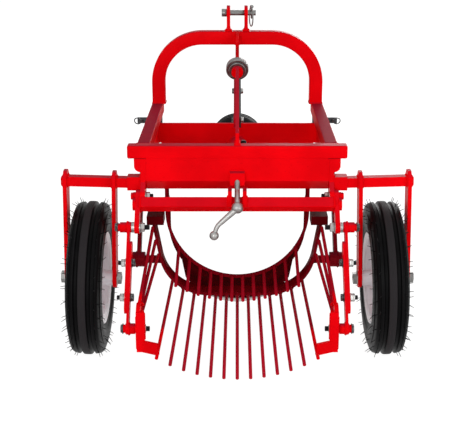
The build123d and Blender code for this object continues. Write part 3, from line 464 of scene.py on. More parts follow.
def make_finishes(colours):
    """One material for each finish; an enamel's numbers are its gloss, chips, shine and share of painted top
    sheen.
    """
    red, crimson, zinc = tuple(colours.red), tuple(colours.crimson), tuple(colours.zinc)
    stay_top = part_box("stay_bar")[1].z
    FINISHES.update(
        red_paint=enamel("red_enamel", red),
        bead_paint=enamel("bead_enamel", red, 0.3, 0.3, 0.01, 0.15),
        # Painted shade and reflection: the rails get a darker copy of the red enamel, with the full purplish
        # sheen on their tops.
        rail_paint=enamel("rail_enamel", shade(red, 0.72), 0.4, 0.4, 0.005, 1.0),
        share_paint=enamel("share_enamel", shade(crimson, 0.92), 0.5, 0.3, 0.0, 0.2),
        crimson_paint=enamel("crimson_enamel", crimson, 0.3, 0.5, 0.03, 0.2),
        # Painted shade: a darker copy of the crimson for the hangers and the welds on the sieve, which sit in
        # shade.
        sieve_paint=enamel("sieve_enamel", shade(crimson, 0.45), 0.34, 0.6, 0.02, 0.3),
        # Painted shade: the stay bar is a darker copy of the red below its top end.
        stay_paint=two_tone(
            "stay_enamel", shade(red, 0.62), red, "Z", stay_top - 34 * MM, stay_top - 20 * MM),
        # Painted shade: the sieve's side frames turn from the red to a darker crimson forward of the rear
        # bracket, where the frame above shades them.
        frame_side_paint=two_tone(
            "frame_side_enamel", red, shade(crimson, 0.9), "Y", AXLE_Y - 0.27, AXLE_Y - 0.24),
        # Painted shade: the sieve band is a darker copy of the crimson, darker still at its upper ears under
        # the housing.
        band_paint=two_tone("band_enamel", shade(crimson, 0.42), shade(crimson, 0.17), "Z", 0.38, 0.44),
        # Painted shade and reflection: the share hoop and its welds get a darker copy of the crimson.
        soiled_paint=enamel("soiled_enamel", shade(crimson, 0.48), 0.5, 0.5, 0.0, 0.3),
        # Painted shade: the blade's paint is a much darker copy of the crimson.
        worn_blade=worn_blade("worn_share", shade(crimson, 0.26), zinc),
        zinc_steel=plated("zinc_plate", zinc),
        turned_steel=plated("turned_steel", shade(zinc, 0.78), 0.24, 0.2),
        cast_steel=plated("cast_steel", shade(zinc, 0.9), 0.36, 0.25),
        dark_steel=plated("dark_steel", shade(zinc, 0.5), 0.3, 0.5),
        black_steel=blackened("black_steel", tuple(colours.blackened)),
        tyre=tyre_rubber("tyre_rubber", tuple(colours.rubber)),
        rim_paint=rim_enamel("rim_enamel", tuple(colours.rim)),
        black_plastic=moulded_black("guard_plastic", tuple(colours.guard)),
    )


def finish(name):
    """Material of a finish."""
    if name not in FINISHES:
        raise RuntimeError("make the finishes before the pieces")
    return FINISHES[name]


def square_to(axis):
    """Two directions square to an axis and to each other."""
    along = Vector(axis).normalized()
    across = along.orthogonal().normalized()
    return across, along.cross(across)


def circle(centre, across, up, radius, steps, turn=0.0):
    """Points round a centre; directions of unequal length make an ellipse."""
    angles = [math.tau * k / steps + turn for k in range(steps)]
    return [Vector(centre) + (across * math.cos(a) + up * math.sin(a)) * radius for a in angles]


SHARP = 34.0  # degrees between faces from which an edge is drawn sharp
BEVEL_FROM = 40  # degrees between faces from which an edge is rounded
SAME_POINT = 0.02 * MM
THREAD_PITCH = 2 * MM
COLLAR_STEP = 2 * MM


class Forge:
    """Gathers the solids of one piece, in metres, in the part's frame; welds ripple by its random draws."""

    def __init__(self, rng=None):
        self.mesh = bmesh.new()
        self.rng = rng

    def skin(self, rings, closed=False):
        """Faces between rings of points; a ring of one point is a tip."""
        made = [[self.mesh.verts.new(p) for p in ring] for ring in rings]
        pairs = list(zip(made, made[1:]))
        if closed:
            pairs.append((made[-1], made[0]))
        for low, high in pairs:
            count = max(len(low), len(high))
            for i in range(count):
                corners = []
                for ring, step in ((low, i), (low, i + 1), (high, i + 1), (high, i)):
                    corner = ring[step % len(ring)]
                    if corner not in corners:
                        corners.append(corner)
                if len(corners) > 2:
                    self.mesh.faces.new(corners)
        if not closed:
            for ring in (made[0], made[-1]):
                if len(ring) > 2:
                    self.mesh.faces.new(ring)

    def lathe(self, origin, axis, profile, steps=28, closed=False, turn=0.0):
        """Turned shape; the profile holds (distance along the axis, radius) in metres."""
        axis = Vector(axis).normalized()
        across, up = square_to(axis)
        self.skin([
            circle(Vector(origin) + axis * along, across, up, radius, steps if radius > 1e-6 else 1, turn)
            for along, radius in profile], closed)

    def hexagon(self, origin, axis, flats, height, turn=0.0):
        """Hexagon head or nut with its corners chamfered."""
        corner = flats / math.sqrt(3)
        chamfers = ((0, 0.93), (0.1, 1.0), (0.86, 1.0), (1.0, 0.9))
        profile = [(along * height, corner * share) for along, share in chamfers]
        self.lathe(origin, axis, profile, 6, False, turn)

    def washer(self, origin, axis, outer, inner, thick):
        """Flat ring with its outer edges broken."""
        lip = thick * 0.25
        self.lathe(origin, axis, (
            (0, inner), (0, outer - lip), (lip, outer), (thick - lip, outer), (thick, outer - lip),
            (thick, inner)), 28, True)

    def thread(self, origin, axis, radius, length):
        """Threaded bolt end with a chamfered tip."""
        turns = max(2, round(length / THREAD_PITCH))
        profile = [(0, 0)]
        for k in range(turns):
            base = length * k / turns
            profile += [(base, radius * 0.86), (base + length / turns / 2, radius)]
        profile += [(length, radius * 0.8), (length, 0)]
        self.lathe(origin, axis, profile, 18)

    def bolt(self, origin, axis, flats, height, turn=0.0):
        """Washer and bolt head standing on a face."""
        axis = Vector(axis).normalized()
        plate = 0.11 * flats
        self.washer(origin, axis, flats * 0.66, flats * 0.3, plate)
        self.hexagon(Vector(origin) + axis * plate, axis, flats, height, turn)

    def sweep(self, points, radii, sides, closed=False):
        """Round bar along a line of points, with a radius at each."""
        last = len(points) - 1
        rings = []
        across = None
        for i, point in enumerate(points):
            after = points[(i + 1) % len(points)] if closed else points[min(i + 1, last)]
            before = points[i - 1] if closed else points[max(i - 1, 0)]
            run = (after - before).normalized()
            across = run.orthogonal() if across is None else across - run * across.dot(run)
            across.normalize()
            rings.append(circle(point, across, run.cross(across), radii[i], sides))
        self.skin(rings, closed)

    def tube(self, points, radius, sides=10, closed=False, taper=1.0):
        """Round bar along a line of points, even or tapered."""
        last = len(points) - 1
        self.sweep(
            points, [radius * (1 + (taper - 1) * i / last) for i in range(len(points))], sides, closed)

    def slab(self, outline, origin, across, up, depth, soften=0.0):
        """Plate from an outline of (across, up) points, thick along the third direction."""
        across, up = Vector(across).normalized(), Vector(up).normalized()
        out = across.cross(up)
        low = [Vector(origin) + across * a + up * b for a, b in outline]
        rings = [low, [p + out * depth for p in low]]
        if soften:
            centre = sum(low, Vector()) / len(low)
            small = [p + (centre - p).normalized() * soften for p in low]
            rings = [
                small,
                [p + out * soften for p in low],
                [p + out * (depth - soften) for p in low],
                [p + out * depth for p in small],
            ]
        self.skin(rings)

    def weld(self, start, end, share=1.0):
        """Rippled fillet weld along a straight seam, as a share of the usual size."""
        size = settings()
        start, end = Vector(start), Vector(end)
        count = max(4, int((end - start).length / size.weld_pitch) * 2)
        self.seam([start.lerp(end, i / count) for i in range(count + 1)], size.weld_size * share)

    def border(self, corners, share=1.0):
        """Welds from corner to corner and back to the first."""
        for i, corner in enumerate(corners):
            self.weld(corner, corners[(i + 1) % len(corners)], share)

    def seam(self, points, size, closed=False):
        """Rippled weld along a line of close points."""
        radii = [size * (0.9 + 0.16 * (i % 2) + self.rng.uniform(-0.07, 0.07)) for i in range(len(points))]
        if not closed:
            radii[0] *= 0.45
            radii[-1] *= 0.45
        self.sweep(points, radii, 7, closed)

    def collar(self, centre, axis, radius, size):
        """Ring of weld round the foot of a rod or bush."""
        steps = max(16, round(math.tau * radius / COLLAR_STEP))
        self.seam(circle(centre, *square_to(axis), radius, steps), size, True)

    def build(self, name, material, sharp=SHARP):
        """Turns the gathered solids into an object."""
        if not self.mesh.faces:
            raise RuntimeError("nothing was made for " + name)
        bmesh.ops.recalc_face_normals(self.mesh, faces=self.mesh.faces)
        data = bpy.data.meshes.new(name)
        self.mesh.to_mesh(data)
        self.mesh.free()
        data.polygons.foreach_set("use_smooth", [True] * len(data.polygons))
        data.set_sharp_from_angle(angle=math.radians(sharp))
        data.materials.append(material)
        piece = bpy.data.objects.new(name, data)
        bpy.context.scene.collection.objects.link(piece)
        return piece

    def place(self, name, body, slot, material=None, sharp=SHARP):
        """Turns the gathered solids into a piece that rides on a body."""
        piece = self.build(name, finish(material or slot), sharp)
        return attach(piece, body)


def dress(nodes, slot, rounding, material=None, segments=2):
    """Gives CAD nodes their finish and rounded edges."""
    for name in nodes:
        node = frame["nodes"][name]
        node.data.materials.clear()
        node.data.materials.append(finish(material or slot))
        weld = node.modifiers.new("Join", "WELD")
        weld.merge_threshold = SAME_POINT
        bevel = node.modifiers.new("Round", "BEVEL")
        bevel.width = rounding
        bevel.segments = segments
        bevel.limit_method = "ANGLE"
        bevel.angle_limit = math.radians(BEVEL_FROM)
        bevel.harden_normals = True


def both(*names):
    """Names of the left and right nodes."""
    return [side + "_" + name for name in names for side, _ in SIDES]


def settings():
    """Sizes of the details."""
    return bpy.context.scene.harvester_details


class HARVESTER_OT_finishes(bpy.types.Operator):
    """Make the paints, platings, rubber and plastic"""

    bl_idname = "harvester.finishes"
    bl_label = "Finishes"

    def execute(self, context):
        make_finishes(context.scene.harvester_finish)
        return {"FINISHED"}


BAR_HALF, BAR_RISE = 15.0, 312.5  # a wheel bar's half side and its height over the axle, in millimetres
LIP_START, LIP_STOP, LIP_SLANT = 41 * MM, 6 * MM, 10 * MM  # from the middle, from the beam's end, end's slant
LIP_DROP, LIP_DEPTH = 12 * MM, 8 * MM


class HARVESTER_OT_frame(bpy.types.Operator):
    """Paint the welded frame and round its tube corners"""

    bl_idname = "harvester.frame"
    bl_label = "Frame"

    def execute(self, context):
        size = settings()
        dress(["rear_tube", *both("wheel_bar")], "red_paint", size.tube_corner, None, 3)
        # The rails take the darker copy of the red, with its painted shade and sheen.
        dress(both("rail"), "red_paint", size.tube_corner, "rail_paint", 3)
        dress(
            ["front_beam", "drive_housing", *both("side_plate", "hitch_lug", "bar_socket", "fork_plates")],
            "red_paint", size.edge_round)
        self.welds()
        self.lip()
        return {"FINISHED"}

    def welds(self):
        """Beads where tubes, plates, sockets and forks meet."""
        beads = Forge(random.Random(3))
        low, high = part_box("rear_tube")
        beam_low, beam_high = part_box("front_beam")
        for name, side in SIDES:
            rail_low, rail_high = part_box(name + "_rail")
            for x in (rail_low.x, rail_high.x):
                beads.weld((x, high.y, low.z), (x, high.y, high.z))
            ledge = side * (max(abs(rail_low.x), abs(rail_high.x)) + 1 * MM)
            plate_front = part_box(name + "_side_plate")[1].y
            beads.weld((ledge, high.y, low.z), (ledge, plate_front - 4 * MM, low.z), 0.8)
            edge = side * beam_high.x
            for y in (beam_low.y, beam_high.y):
                beads.weld((edge, y, beam_low.z), (edge, y, beam_high.z))
            wheel = Wheel(name, side)
            square = [(BAR_HALF * a, BAR_HALF * b) for a, b in ((-1, -1), (1, -1), (1, 1), (-1, 1))]
            for out in (-FORK_OUTER, -FORK_INNER, FORK_INNER, FORK_OUTER):
                beads.border([wheel.point(out, y, BAR_RISE + z) for y, z in square], 1.1)
            socket_low, socket_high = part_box(name + "_bar_socket")
            root = min(abs(socket_low.x), abs(socket_high.x)) * side
            beads.border([
                (root, socket_low.y, socket_low.z), (root, socket_high.y, socket_low.z),
                (root, socket_high.y, socket_high.z), (root, socket_low.y, socket_high.z)], 1.2)
        housing_low, housing_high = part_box("drive_housing")
        for y in (low.y + 3 * MM, housing_high.y):
            beads.weld((housing_low.x + 4 * MM, y, low.z), (housing_high.x - 4 * MM, y, low.z), 0.7)
        beads.place("frame_welds", "frame", "red_paint", "bead_paint")

    def lip(self):
        """Lip under the front beam, in two lengths."""
        low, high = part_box("front_beam")
        stop = high.x - LIP_STOP
        outline = [(LIP_START, 0), (stop, 0), (stop - LIP_SLANT, -LIP_DROP), (LIP_START, -LIP_DROP)]
        root = Vector((0, low.y + 2 * MM, low.z + 0.2 * MM))
        lip = Forge()
        for _, side in SIDES:
            lip.slab([(side * x, z) for x, z in outline], root, X, Z, -LIP_DEPTH, 1.0 * MM)
        lip.place("beam_lip", "frame", "red_paint")


MAST_TUBE, MAST_BEND = 46 * MM, 178 * MM  # side of the square tube and outer radius of its bends
BEND_STEPS, CORNER_STEPS = 26, 4
CLEVIS_FACES = ((-36.5, -1), (-24.5, 1), (24.5, -1), (36.5, 1))  # X in millimetres and the way a face looks
FILLET = mm((0, 0), (9, 0), (6.2, 1.8), (3.2, 4.6), (1.4, 8.4), (0, 14))
PEG = mm((0, 0), (0, 2.4), (3, 3.8), (36, 4.0), (38, 6.4), (44, 6.4), (46, 4.6), (46, 0))


class HARVESTER_OT_mast(bpy.types.Operator):
    """Bent mast tube, clevis welds, top pin and its linchpin"""

    bl_idname = "harvester.mast"
    bl_label = "Mast"

    def execute(self, context):
        self.arch()
        dress(["top_link_clevis"], "red_paint", settings().edge_round)
        self.welds()
        dress(["top_pin"], "zinc_steel", 1.0 * MM, "dark_steel")
        self.linchpin()
        return {"FINISHED"}

    def arch(self):
        """Square tube with rounded edges, bent into an arch."""
        low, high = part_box("mast_arch")
        bend = MAST_BEND - MAST_TUBE / 2
        half = high.x - MAST_TUBE / 2
        crown = high.z - MAST_TUBE / 2
        mid_y = (low.y + high.y) / 2
        line = [Vector((-half, mid_y, low.z))]
        for centre_x, begin in ((-half + bend, math.pi), (half - bend, math.pi / 2)):
            for i in range(BEND_STEPS + 1):
                a = begin - math.pi / 2 * i / BEND_STEPS
                line.append(Vector((
                    centre_x + bend * math.cos(a), mid_y, crown - bend + bend * math.sin(a))))
        line.append(Vector((half, mid_y, low.z)))
        corner = settings().tube_corner
        inset = MAST_TUBE / 2 - corner
        section = []
        for quarter, (across, up) in enumerate(((1, 1), (-1, 1), (-1, -1), (1, -1))):
            for i in range(CORNER_STEPS + 1):
                a = math.pi / 2 * (quarter + i / CORNER_STEPS)
                section.append((across * inset + corner * math.cos(a), up * inset + corner * math.sin(a)))
        last = len(line) - 1
        rings = []
        for i, point in enumerate(line):
            run = (line[min(i + 1, last)] - line[max(i - 1, 0)]).normalized()
            if i in (0, last):
                run = Z if i == 0 else -Z
            out = Vector((-run.z, 0, run.x))
            rings.append([point + out * across + Y * deep for across, deep in section])
        arch = Forge()
        arch.skin(rings)
        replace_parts(arch.place("mast_tube", "frame", "red_paint", sharp=50), "mast_arch")

    def welds(self):
        """Fillets of the clevis plates and beads round the mast's feet."""
        beads = Forge(random.Random(5))
        low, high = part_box("top_link_clevis")
        inset = 1 * MM
        for x, way in CLEVIS_FACES:
            begin = high.y - inset if way > 0 else low.y + inset
            beads.slab(
                [(a * way, b) for a, b in FILLET], (x * MM, begin, low.z - 0.5 * MM), X, Z,
                (high.y - low.y - 2 * inset) * way)
            foot = Vector(((x + way * 3) * MM, low.y, low.z))
            beads.weld(foot, foot + Z * 10 * MM, 0.8)
        low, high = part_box("mast_arch")
        for _, side in SIDES:
            inner, outer = side * (high.x - MAST_TUBE), side * high.x
            for x in (inner, outer):
                beads.weld((x, low.y, low.z), (x, high.y, low.z), 0.6)
            beads.weld((inner, low.y, low.z), (outer, low.y, low.z), 0.9)
        beads.place("mast_welds", "frame", "red_paint")

    def linchpin(self):
        """Linchpin through the top pin's end, with its spring ring."""
        seat = Vector((50 * MM, middle("mast_arch").y, middle("top_pin").z))
        peg = Forge()
        peg.lathe(seat - Z * 20 * MM, Z, PEG, 16)
        across, up = Vector((-0.22, 1, 0)) * 27 * MM, Z * 32 * MM
        peg.tube(circle(seat - Vector((2, 0, 14)) * MM, across, up, 1.0, 48), 2.2 * MM, 9, True)
        peg.place("top_linchpin", "frame", "zinc_steel", "dark_steel")


class HARVESTER_OT_hitch(bpy.types.Operator):
    """Lower hitch pins with their linchpins"""

    bl_idname = "harvester.hitch"
    bl_label = "Hitch pins"

    def execute(self, context):
        dress(both("hitch_pin"), "zinc_steel", 0.8 * MM, "black_steel")
        for name, side in SIDES:
            low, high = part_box(name + "_hitch_pin")
            seat = middle(name + "_hitch_pin")
            seat.x = side * (max(abs(low.x), abs(high.x)) - 13 * MM)
            peg = Forge()
            peg.lathe(seat + Y * 24 * MM, -Y, PEG, 16)
            reach = Vector((side * 0.9, 0.45, 0)) * 13.5 * MM
            loop = circle(seat - Y * 18 * MM + reach, -reach, Z * 10.5 * MM, 1.0, 44)
            peg.tube(loop, 1.9 * MM, 8, True)
            peg.place(name + "_linchpin", "frame", "black_steel")
        return {"FINISHED"}


HAIR_RADIUS, HAIR_TAPER, HAIR_LOWEST = 1.15 * MM, 0.6, 2 * MM
HAIR_ROWS = ((10, 0.35), (15, 0.8), (21, 1.0))  # point of the tyre's section and how far the hairs lean aside
RIM_OUTSIDE = (
    (10, 118), (14, 126.4), (36, 127), (38, 129), (40.6, 139), (42, 142.6), (45, 143), (46.6, 141), (46, 138))
RIM_INSIDE = ((42, 127), (39, 122.4), (36, 121.6), (16, 121.4), (12, 113))
RIM_FRONT = ((6, 112), (5, 104), (9, 98), (10, 88), (8, 60), (3.4, 52), (3.2, 30))
RIM_HUB = ((6.5, 24.6), (24, 24), (66.2, 24), (67, 23.2), (67, 12))
RIM_BACK = ((-3.2, 30), (-3.0, 52), (2, 60), (4, 88), (3, 98), (-1, 104), (-5, 112))
AXLE_END = 93.5  # in millimetres from the wheel's middle
VALVE_ANGLE = 0.9


def tyre_section(deep):
    """Half a tyre's section: millimetres from the middle and below the crown, for a depth of groove."""
    return (
        (0, 0), (8.6, 0.3), (10.8, 1.2), (12.0, 3.2), (13.4, deep - 1.4), (15.4, deep), (21.4, deep),
        (23.4, deep - 1.4), (24.6, 4.2), (26.0, 2.6), (34.6, 4.6), (35.4, 6.2), (36.4, 4.9), (41.5, 7.2),
        (44.6, 10.2), (46.4, 15), (47.6, 22), (49.6, 31), (51.6, 32), (52.2, 34.5), (51.8, 37), (53.4, 46),
        (54, 56), (53.2, 68), (50.6, 78), (48.8, 80), (48.4, 84), (45.6, 92), (44.4, 96), (41, 97.5),
        (36, 106))


def mirrored(profile):
    """The other half of a profile, so that both make one line."""
    return [(-along, radius) for along, radius in reversed(profile)]


class HARVESTER_OT_wheels(bpy.types.Operator):
    """Ribbed tyres with moulding hairs, rims, hubs and axle fittings"""

    bl_idname = "harvester.wheels"
    bl_label = "Wheels"

    def execute(self, context):
        size = settings()
        dress(both("axle"), "zinc_steel", 0.8 * MM, "dark_steel")
        half = [(x * MM, TYRE_RADIUS - drop * MM) for x, drop in tyre_section(size.groove_depth / MM)]
        profile = mirrored(half[1:]) + half
        for name, side in SIDES:
            body = name + "_wheel"
            wheel = Wheel(name, side)
            tyre = Forge(random.Random(11 + side))
            tyre.lathe(wheel.hub, wheel.along, profile, 112, True)
            self.hairs(tyre, wheel, half)
            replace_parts(tyre.place(name + "_ribbed_tyre", body, "tyre", sharp=42), name + "_tyre")
            self.rim(name, wheel, body)
            ends = Forge()
            for way in (-1, 1):
                out = wheel.out * way
                ends.washer(wheel.point(way * FORK_OUTER, 0, 0), out, 21 * MM, 10.5 * MM, 2.6 * MM)
                ends.lathe(
                    wheel.point(way * AXLE_END, 0, 0), out,
                    mm((-1, 0), (-1, 10), (0.4, 10), (1.6, 8.4), (1.6, 0)), 20)
            ends.place(name + "_axle_washers", "frame", "zinc_steel")
        return {"FINISHED"}

    def hairs(self, tyre, wheel, profile):
        """Rubber hairs left by the mould's vents, in rows round the tread and shoulders."""
        size = settings()
        rng = tyre.rng
        for row, (index, spread) in enumerate(HAIR_ROWS):
            offset, radius = profile[index]
            for way in (-1, 1):
                for k in range(size.hair_count):
                    angle = math.tau * (k + 0.5 * (row % 2)) / size.hair_count + rng.uniform(-0.05, 0.05)
                    length = size.hair_length * rng.uniform(0.55, 1.0)
                    out = wheel.around(angle)
                    side = wheel.along * way
                    root = wheel.hub + side * offset + out * (radius - 0.8 * MM)
                    lean = (out * (1.1 - spread * 0.8) + side * spread).normalized()
                    aside = min(lean.dot(side), (HAIR_ROOM - offset) / length)
                    lean = side * aside + out * math.sqrt(1 - aside * aside)
                    curl = out.cross(wheel.along) * rng.uniform(-0.5, 0.5) + out * rng.uniform(-0.2, 0.4)
                    points = [
                        root + lean * length * t + curl * length * 0.6 * t * t for t in (0, 0.35, 0.7, 1.0)]
                    if points[-1].z >= HAIR_LOWEST:
                        tyre.tube(points, HAIR_RADIUS, 5, False, HAIR_TAPER)

    def rim(self, name, wheel, body):
        """Pressed rim with rolled flanges, centre disc, hub tube and valve."""
        dish = Forge(random.Random(21))
        dish.lathe(wheel.hub, wheel.along, mm(
            *mirrored(RIM_OUTSIDE), *RIM_OUTSIDE, *RIM_INSIDE, *RIM_FRONT, *RIM_HUB,
            *mirrored(RIM_HUB), *RIM_BACK, *mirrored(RIM_INSIDE)), 84, True)
        for out in (5.2, -5.2):
            dish.seam(
                circle(wheel.point(out, 0, 0), wheel.up, wheel.ahead, 25.5 * MM, 48), 2.6 * MM, True)
        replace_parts(dish.place(name + "_pressed_rim", body, "rim_paint", sharp=38), name + "_rim")
        valve = Forge()
        inward = -wheel.around(VALVE_ANGLE)
        valve.lathe(
            wheel.point(20, 0, 0) - inward * 121 * MM, wheel.out * 0.75 + inward * 0.66,
            mm((-2, 0), (-2, 7), (2, 7), (7, 4.4), (24, 3.6), (24.5, 4.6), (33, 4.4), (34, 0)), 16)
        valve.place(name + "_valve", body, "tyre")


STAY_FOOT, STAY_HEAD = at(0, -5, 688), at(0, 594, 895)
STAY_RING, STAY_BOLTS = 0.66, (0.155, 0.43)  # as shares of the stay's length
DOUBLER_FROM, DOUBLER_LENGTH = 0.13, 0.37


class HARVESTER_OT_stay(bpy.types.Operator):
    """Stay plates, bolts and the turned collar"""

    bl_idname = "harvester.stay"
    bl_label = "Stay"

    def execute(self, context):
        size = settings()
        dress(["stay_flat"], "red_paint", size.edge_round)
        # The stay bar takes the red with painted shade on its lower length.
        dress(["stay_bar"], "red_paint", size.edge_round, "stay_paint")
        dress(["stay_boss"], "red_paint", 6 * MM, None, 3)
        dress(["stay_ring"], "zinc_steel", 1.6 * MM, "dark_steel")
        dress(["stay_strap"], "black_steel", 0.8 * MM)
        length = (STAY_HEAD - STAY_FOOT).length
        run = (STAY_HEAD - STAY_FOOT).normalized()
        lift = X.cross(run)
        middle_ring = STAY_FOOT + run * length * STAY_RING
        fittings = Forge()
        for along in (-17 * MM, 11 * MM):
            fittings.lathe(
                middle_ring + run * along, run,
                mm((0, 19.5), (0, 27), (1.2, 28.4), (4.8, 28.4), (6, 27), (6, 19.5)), 40, True)
        for out in circle(Vector(), X, lift, 1.0, 3, 0.4):
            fittings.lathe(
                middle_ring + out * 36.2 * MM, out,
                mm((0, 0), (0, 3.4), (1.0, 3.4), (1.4, 2.6), (1.4, 0)), 14)
        fittings.place("stay_collar_rings", "frame", "zinc_steel", "dark_steel")
        side_plate = Forge()
        reach = length / MM * DOUBLER_LENGTH
        outline = mm(
            (-5, 15), (-2, 18), (reach + 2, 18), (reach + 5, 15), (reach + 5, -15), (reach + 2, -18),
            (-2, -18), (-5, -15))
        side_plate.slab(
            outline, STAY_FOOT + run * length * DOUBLER_FROM - X * 5.5 * MM, run, lift, -5 * MM, 0.6 * MM)
        side_plate.place("stay_doubler", "frame", "red_paint", "crimson_paint")
        heads, nuts = Forge(), Forge()
        for share in STAY_BOLTS:
            centre = STAY_FOOT + run * length * share
            heads.bolt(centre - X * 10.4 * MM, -X, 15 * MM, 5 * MM, 0.3)
            nuts.bolt(centre + X * 11.4 * MM, X, 15 * MM, 6 * MM, 0.3)
        heads.place("stay_bolt_heads", "frame", "black_steel")
        nuts.place("stay_bolt_nuts", "frame", "zinc_steel")
        beads = Forge(random.Random(8))
        for way in (-1, 1):
            beads.weld(at(way * 6.5, -20, 667), at(way * 6.5, 34, 667))
            beads.weld(at(way * 7, 592, 872), at(way * 7, 592, 912), 1.3)
        beads.weld(at(-6, 590, 871), at(6, 590, 871), 1.3)
        beads.place("stay_welds", "frame", "red_paint", "bead_paint")
        return {"FINISHED"}


BOX_FALL, BOX_LENGTH = 16, 190  # how far the gearbox's top slopes down, and over what length, in millimetres
DRIVE_TUBE = 36.5 * MM
COVER_BOLT, COVER_HEAD = 13 * MM, 6 * MM  # flats and height of the gearbox's bolt heads
BREATHER = (20, 100)
GUARD_RIBS = ((3, 92.4), (26, 92.2), (48, 92.0))  # back from the guard's mouth and radius, in millimetres
SPLINES, SPLINE_LENGTH = 6, 118
SPLINE_OUTER, SPLINE_ROOT, LOCK_GROOVE, SPLINE_END = 17.5 * MM, 14.6 * MM, 14.0 * MM, 15.2 * MM


class HARVESTER_OT_drive(bpy.types.Operator):
    """Gearbox, drive tube, splined shaft, guard and housing fasteners"""

    bl_idname = "harvester.drive"
    bl_label = "Drive"

    def execute(self, context):
        size = settings()
        dress(["gearbox"], "red_paint", 2.5 * MM)
        dress(["drive_tube"], "red_paint", size.edge_round)
        dress(["pto_guard"], "black_plastic", 1.2 * MM)
        low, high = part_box("gearbox")
        line_z = middle("drive_tube").z
        cover = Forge()
        for x in (-62, -31, 31, 62):
            for z in (-40, 52):
                cover.bolt((x * MM, high.y, line_z + z * MM), Y, COVER_BOLT, COVER_HEAD, 0.2)
        for x in (-66, 66):
            cover.bolt((x * MM, high.y, line_z), Y, COVER_BOLT, COVER_HEAD, 0.5)
        slope = Vector((0, BOX_FALL, BOX_LENGTH)).normalized()

        def on_top(x, y):
            """Point of the gearbox's sloping top, in millimetres from its middle and rear."""
            return Vector((x * MM, low.y + y * MM, high.z - BOX_FALL * MM * y / BOX_LENGTH))

        for x in (-60, 60):
            for y in (20, 75, 130):
                cover.bolt(on_top(x, y), slope, COVER_BOLT, COVER_HEAD, 0.1)
        cover.place("gearbox_bolts", "frame", "zinc_steel")
        plug = Forge()
        plug.bolt(on_top(*BREATHER), slope, 22 * MM, 9 * MM)
        plug.lathe(
            on_top(*BREATHER) + slope * 11 * MM, slope,
            mm((0, 0), (0, 7), (8, 7), (9, 9), (15, 9), (18, 6), (18, 0)), 20)
        plug.place("gearbox_breather", "frame", "black_plastic")
        self.splines()
        ribs = Forge()
        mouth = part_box("pto_guard")[1].y
        for back, radius in GUARD_RIBS:
            ribs.lathe(
                (0, mouth - back * MM, middle("pto_guard").z), Y,
                mm((-2.6, radius - 1), (-1.8, radius + 1.4), (1.8, radius + 1.4), (2.6, radius - 1)),
                72, True)
        ribs.place("guard_ribs", "frame", "black_plastic")
        beads = Forge(random.Random(31))
        for y in (low.y + BOX_LENGTH * MM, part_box("front_beam")[0].y):
            beads.seam(circle((0, y, line_z), Z, X, DRIVE_TUBE, 90), size.weld_size * 0.8, True)
        beads.place("drive_tube_welds", "frame", "red_paint")
        return {"FINISHED"}

    def splines(self):
        """Six-splined stub with its locking groove."""
        low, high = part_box("pto_shaft")
        centre_z = middle("pto_shaft").z
        flanks = (
            (-0.36, SPLINE_ROOT), (-0.25, SPLINE_ROOT), (-0.235, SPLINE_OUTER), (0.235, SPLINE_OUTER),
            (0.25, SPLINE_ROOT))
        outline = [
            (radius, math.tau * k / SPLINES + shift) for k in range(SPLINES) for shift, radius in flanks]

        def section(back, most=SPLINE_OUTER):
            """Outline at some millimetres back from the end, turned down to a largest radius."""
            centre = Vector((0, high.y - back * MM, centre_z))
            return [centre + (X * math.sin(a) + Z * math.cos(a)) * min(r, most) for r, a in outline]

        shaft = Forge()
        shaft.skin([
            section(SPLINE_LENGTH + 2), section(46), section(45, LOCK_GROOVE), section(38, LOCK_GROOVE),
            section(37), section(3), section(0, SPLINE_END)])
        plain = high.y - SPLINE_LENGTH * MM - low.y
        shaft.lathe((0, low.y, centre_z), Y, (
            (0, 0), (0, 19 * MM), (1 * MM, 20 * MM), (plain - 1.5 * MM, 20 * MM), (plain, 18.5 * MM),
            (plain, 0)), 40)
        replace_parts(shaft.place("splined_shaft", "pto", "zinc_steel", "turned_steel"), "pto_shaft")


ARM_PIVOT = (-36, 514)  # Y from the axle and height, in millimetres, as for the other pivots
ARM_OUTER, ARM_INNER = 309.5, 276.5  # faces at that pivot, as X in millimetres
SPACER_FROM, PIN_INNER, PIN_OUTER = 304, 290, 353  # faces at the rockers' pivot
TUBE_LINE, TUBE_END = (-61, 496), 289.5
LUG_FACES, BLOCK_HALF = (16, 28), 22
TUBE_REACH = 23.6 * MM  # from the adjuster tube's middle to its edges
CRANK_NUT, CRANK_HUB, CRANK_ELBOW, CRANK_BALL = (
    at(0, -40, 572), at(0, -120, 502), at(-62, -137, 450), at(-68, -140, 424))
BALL_RADIUS = 14 * MM


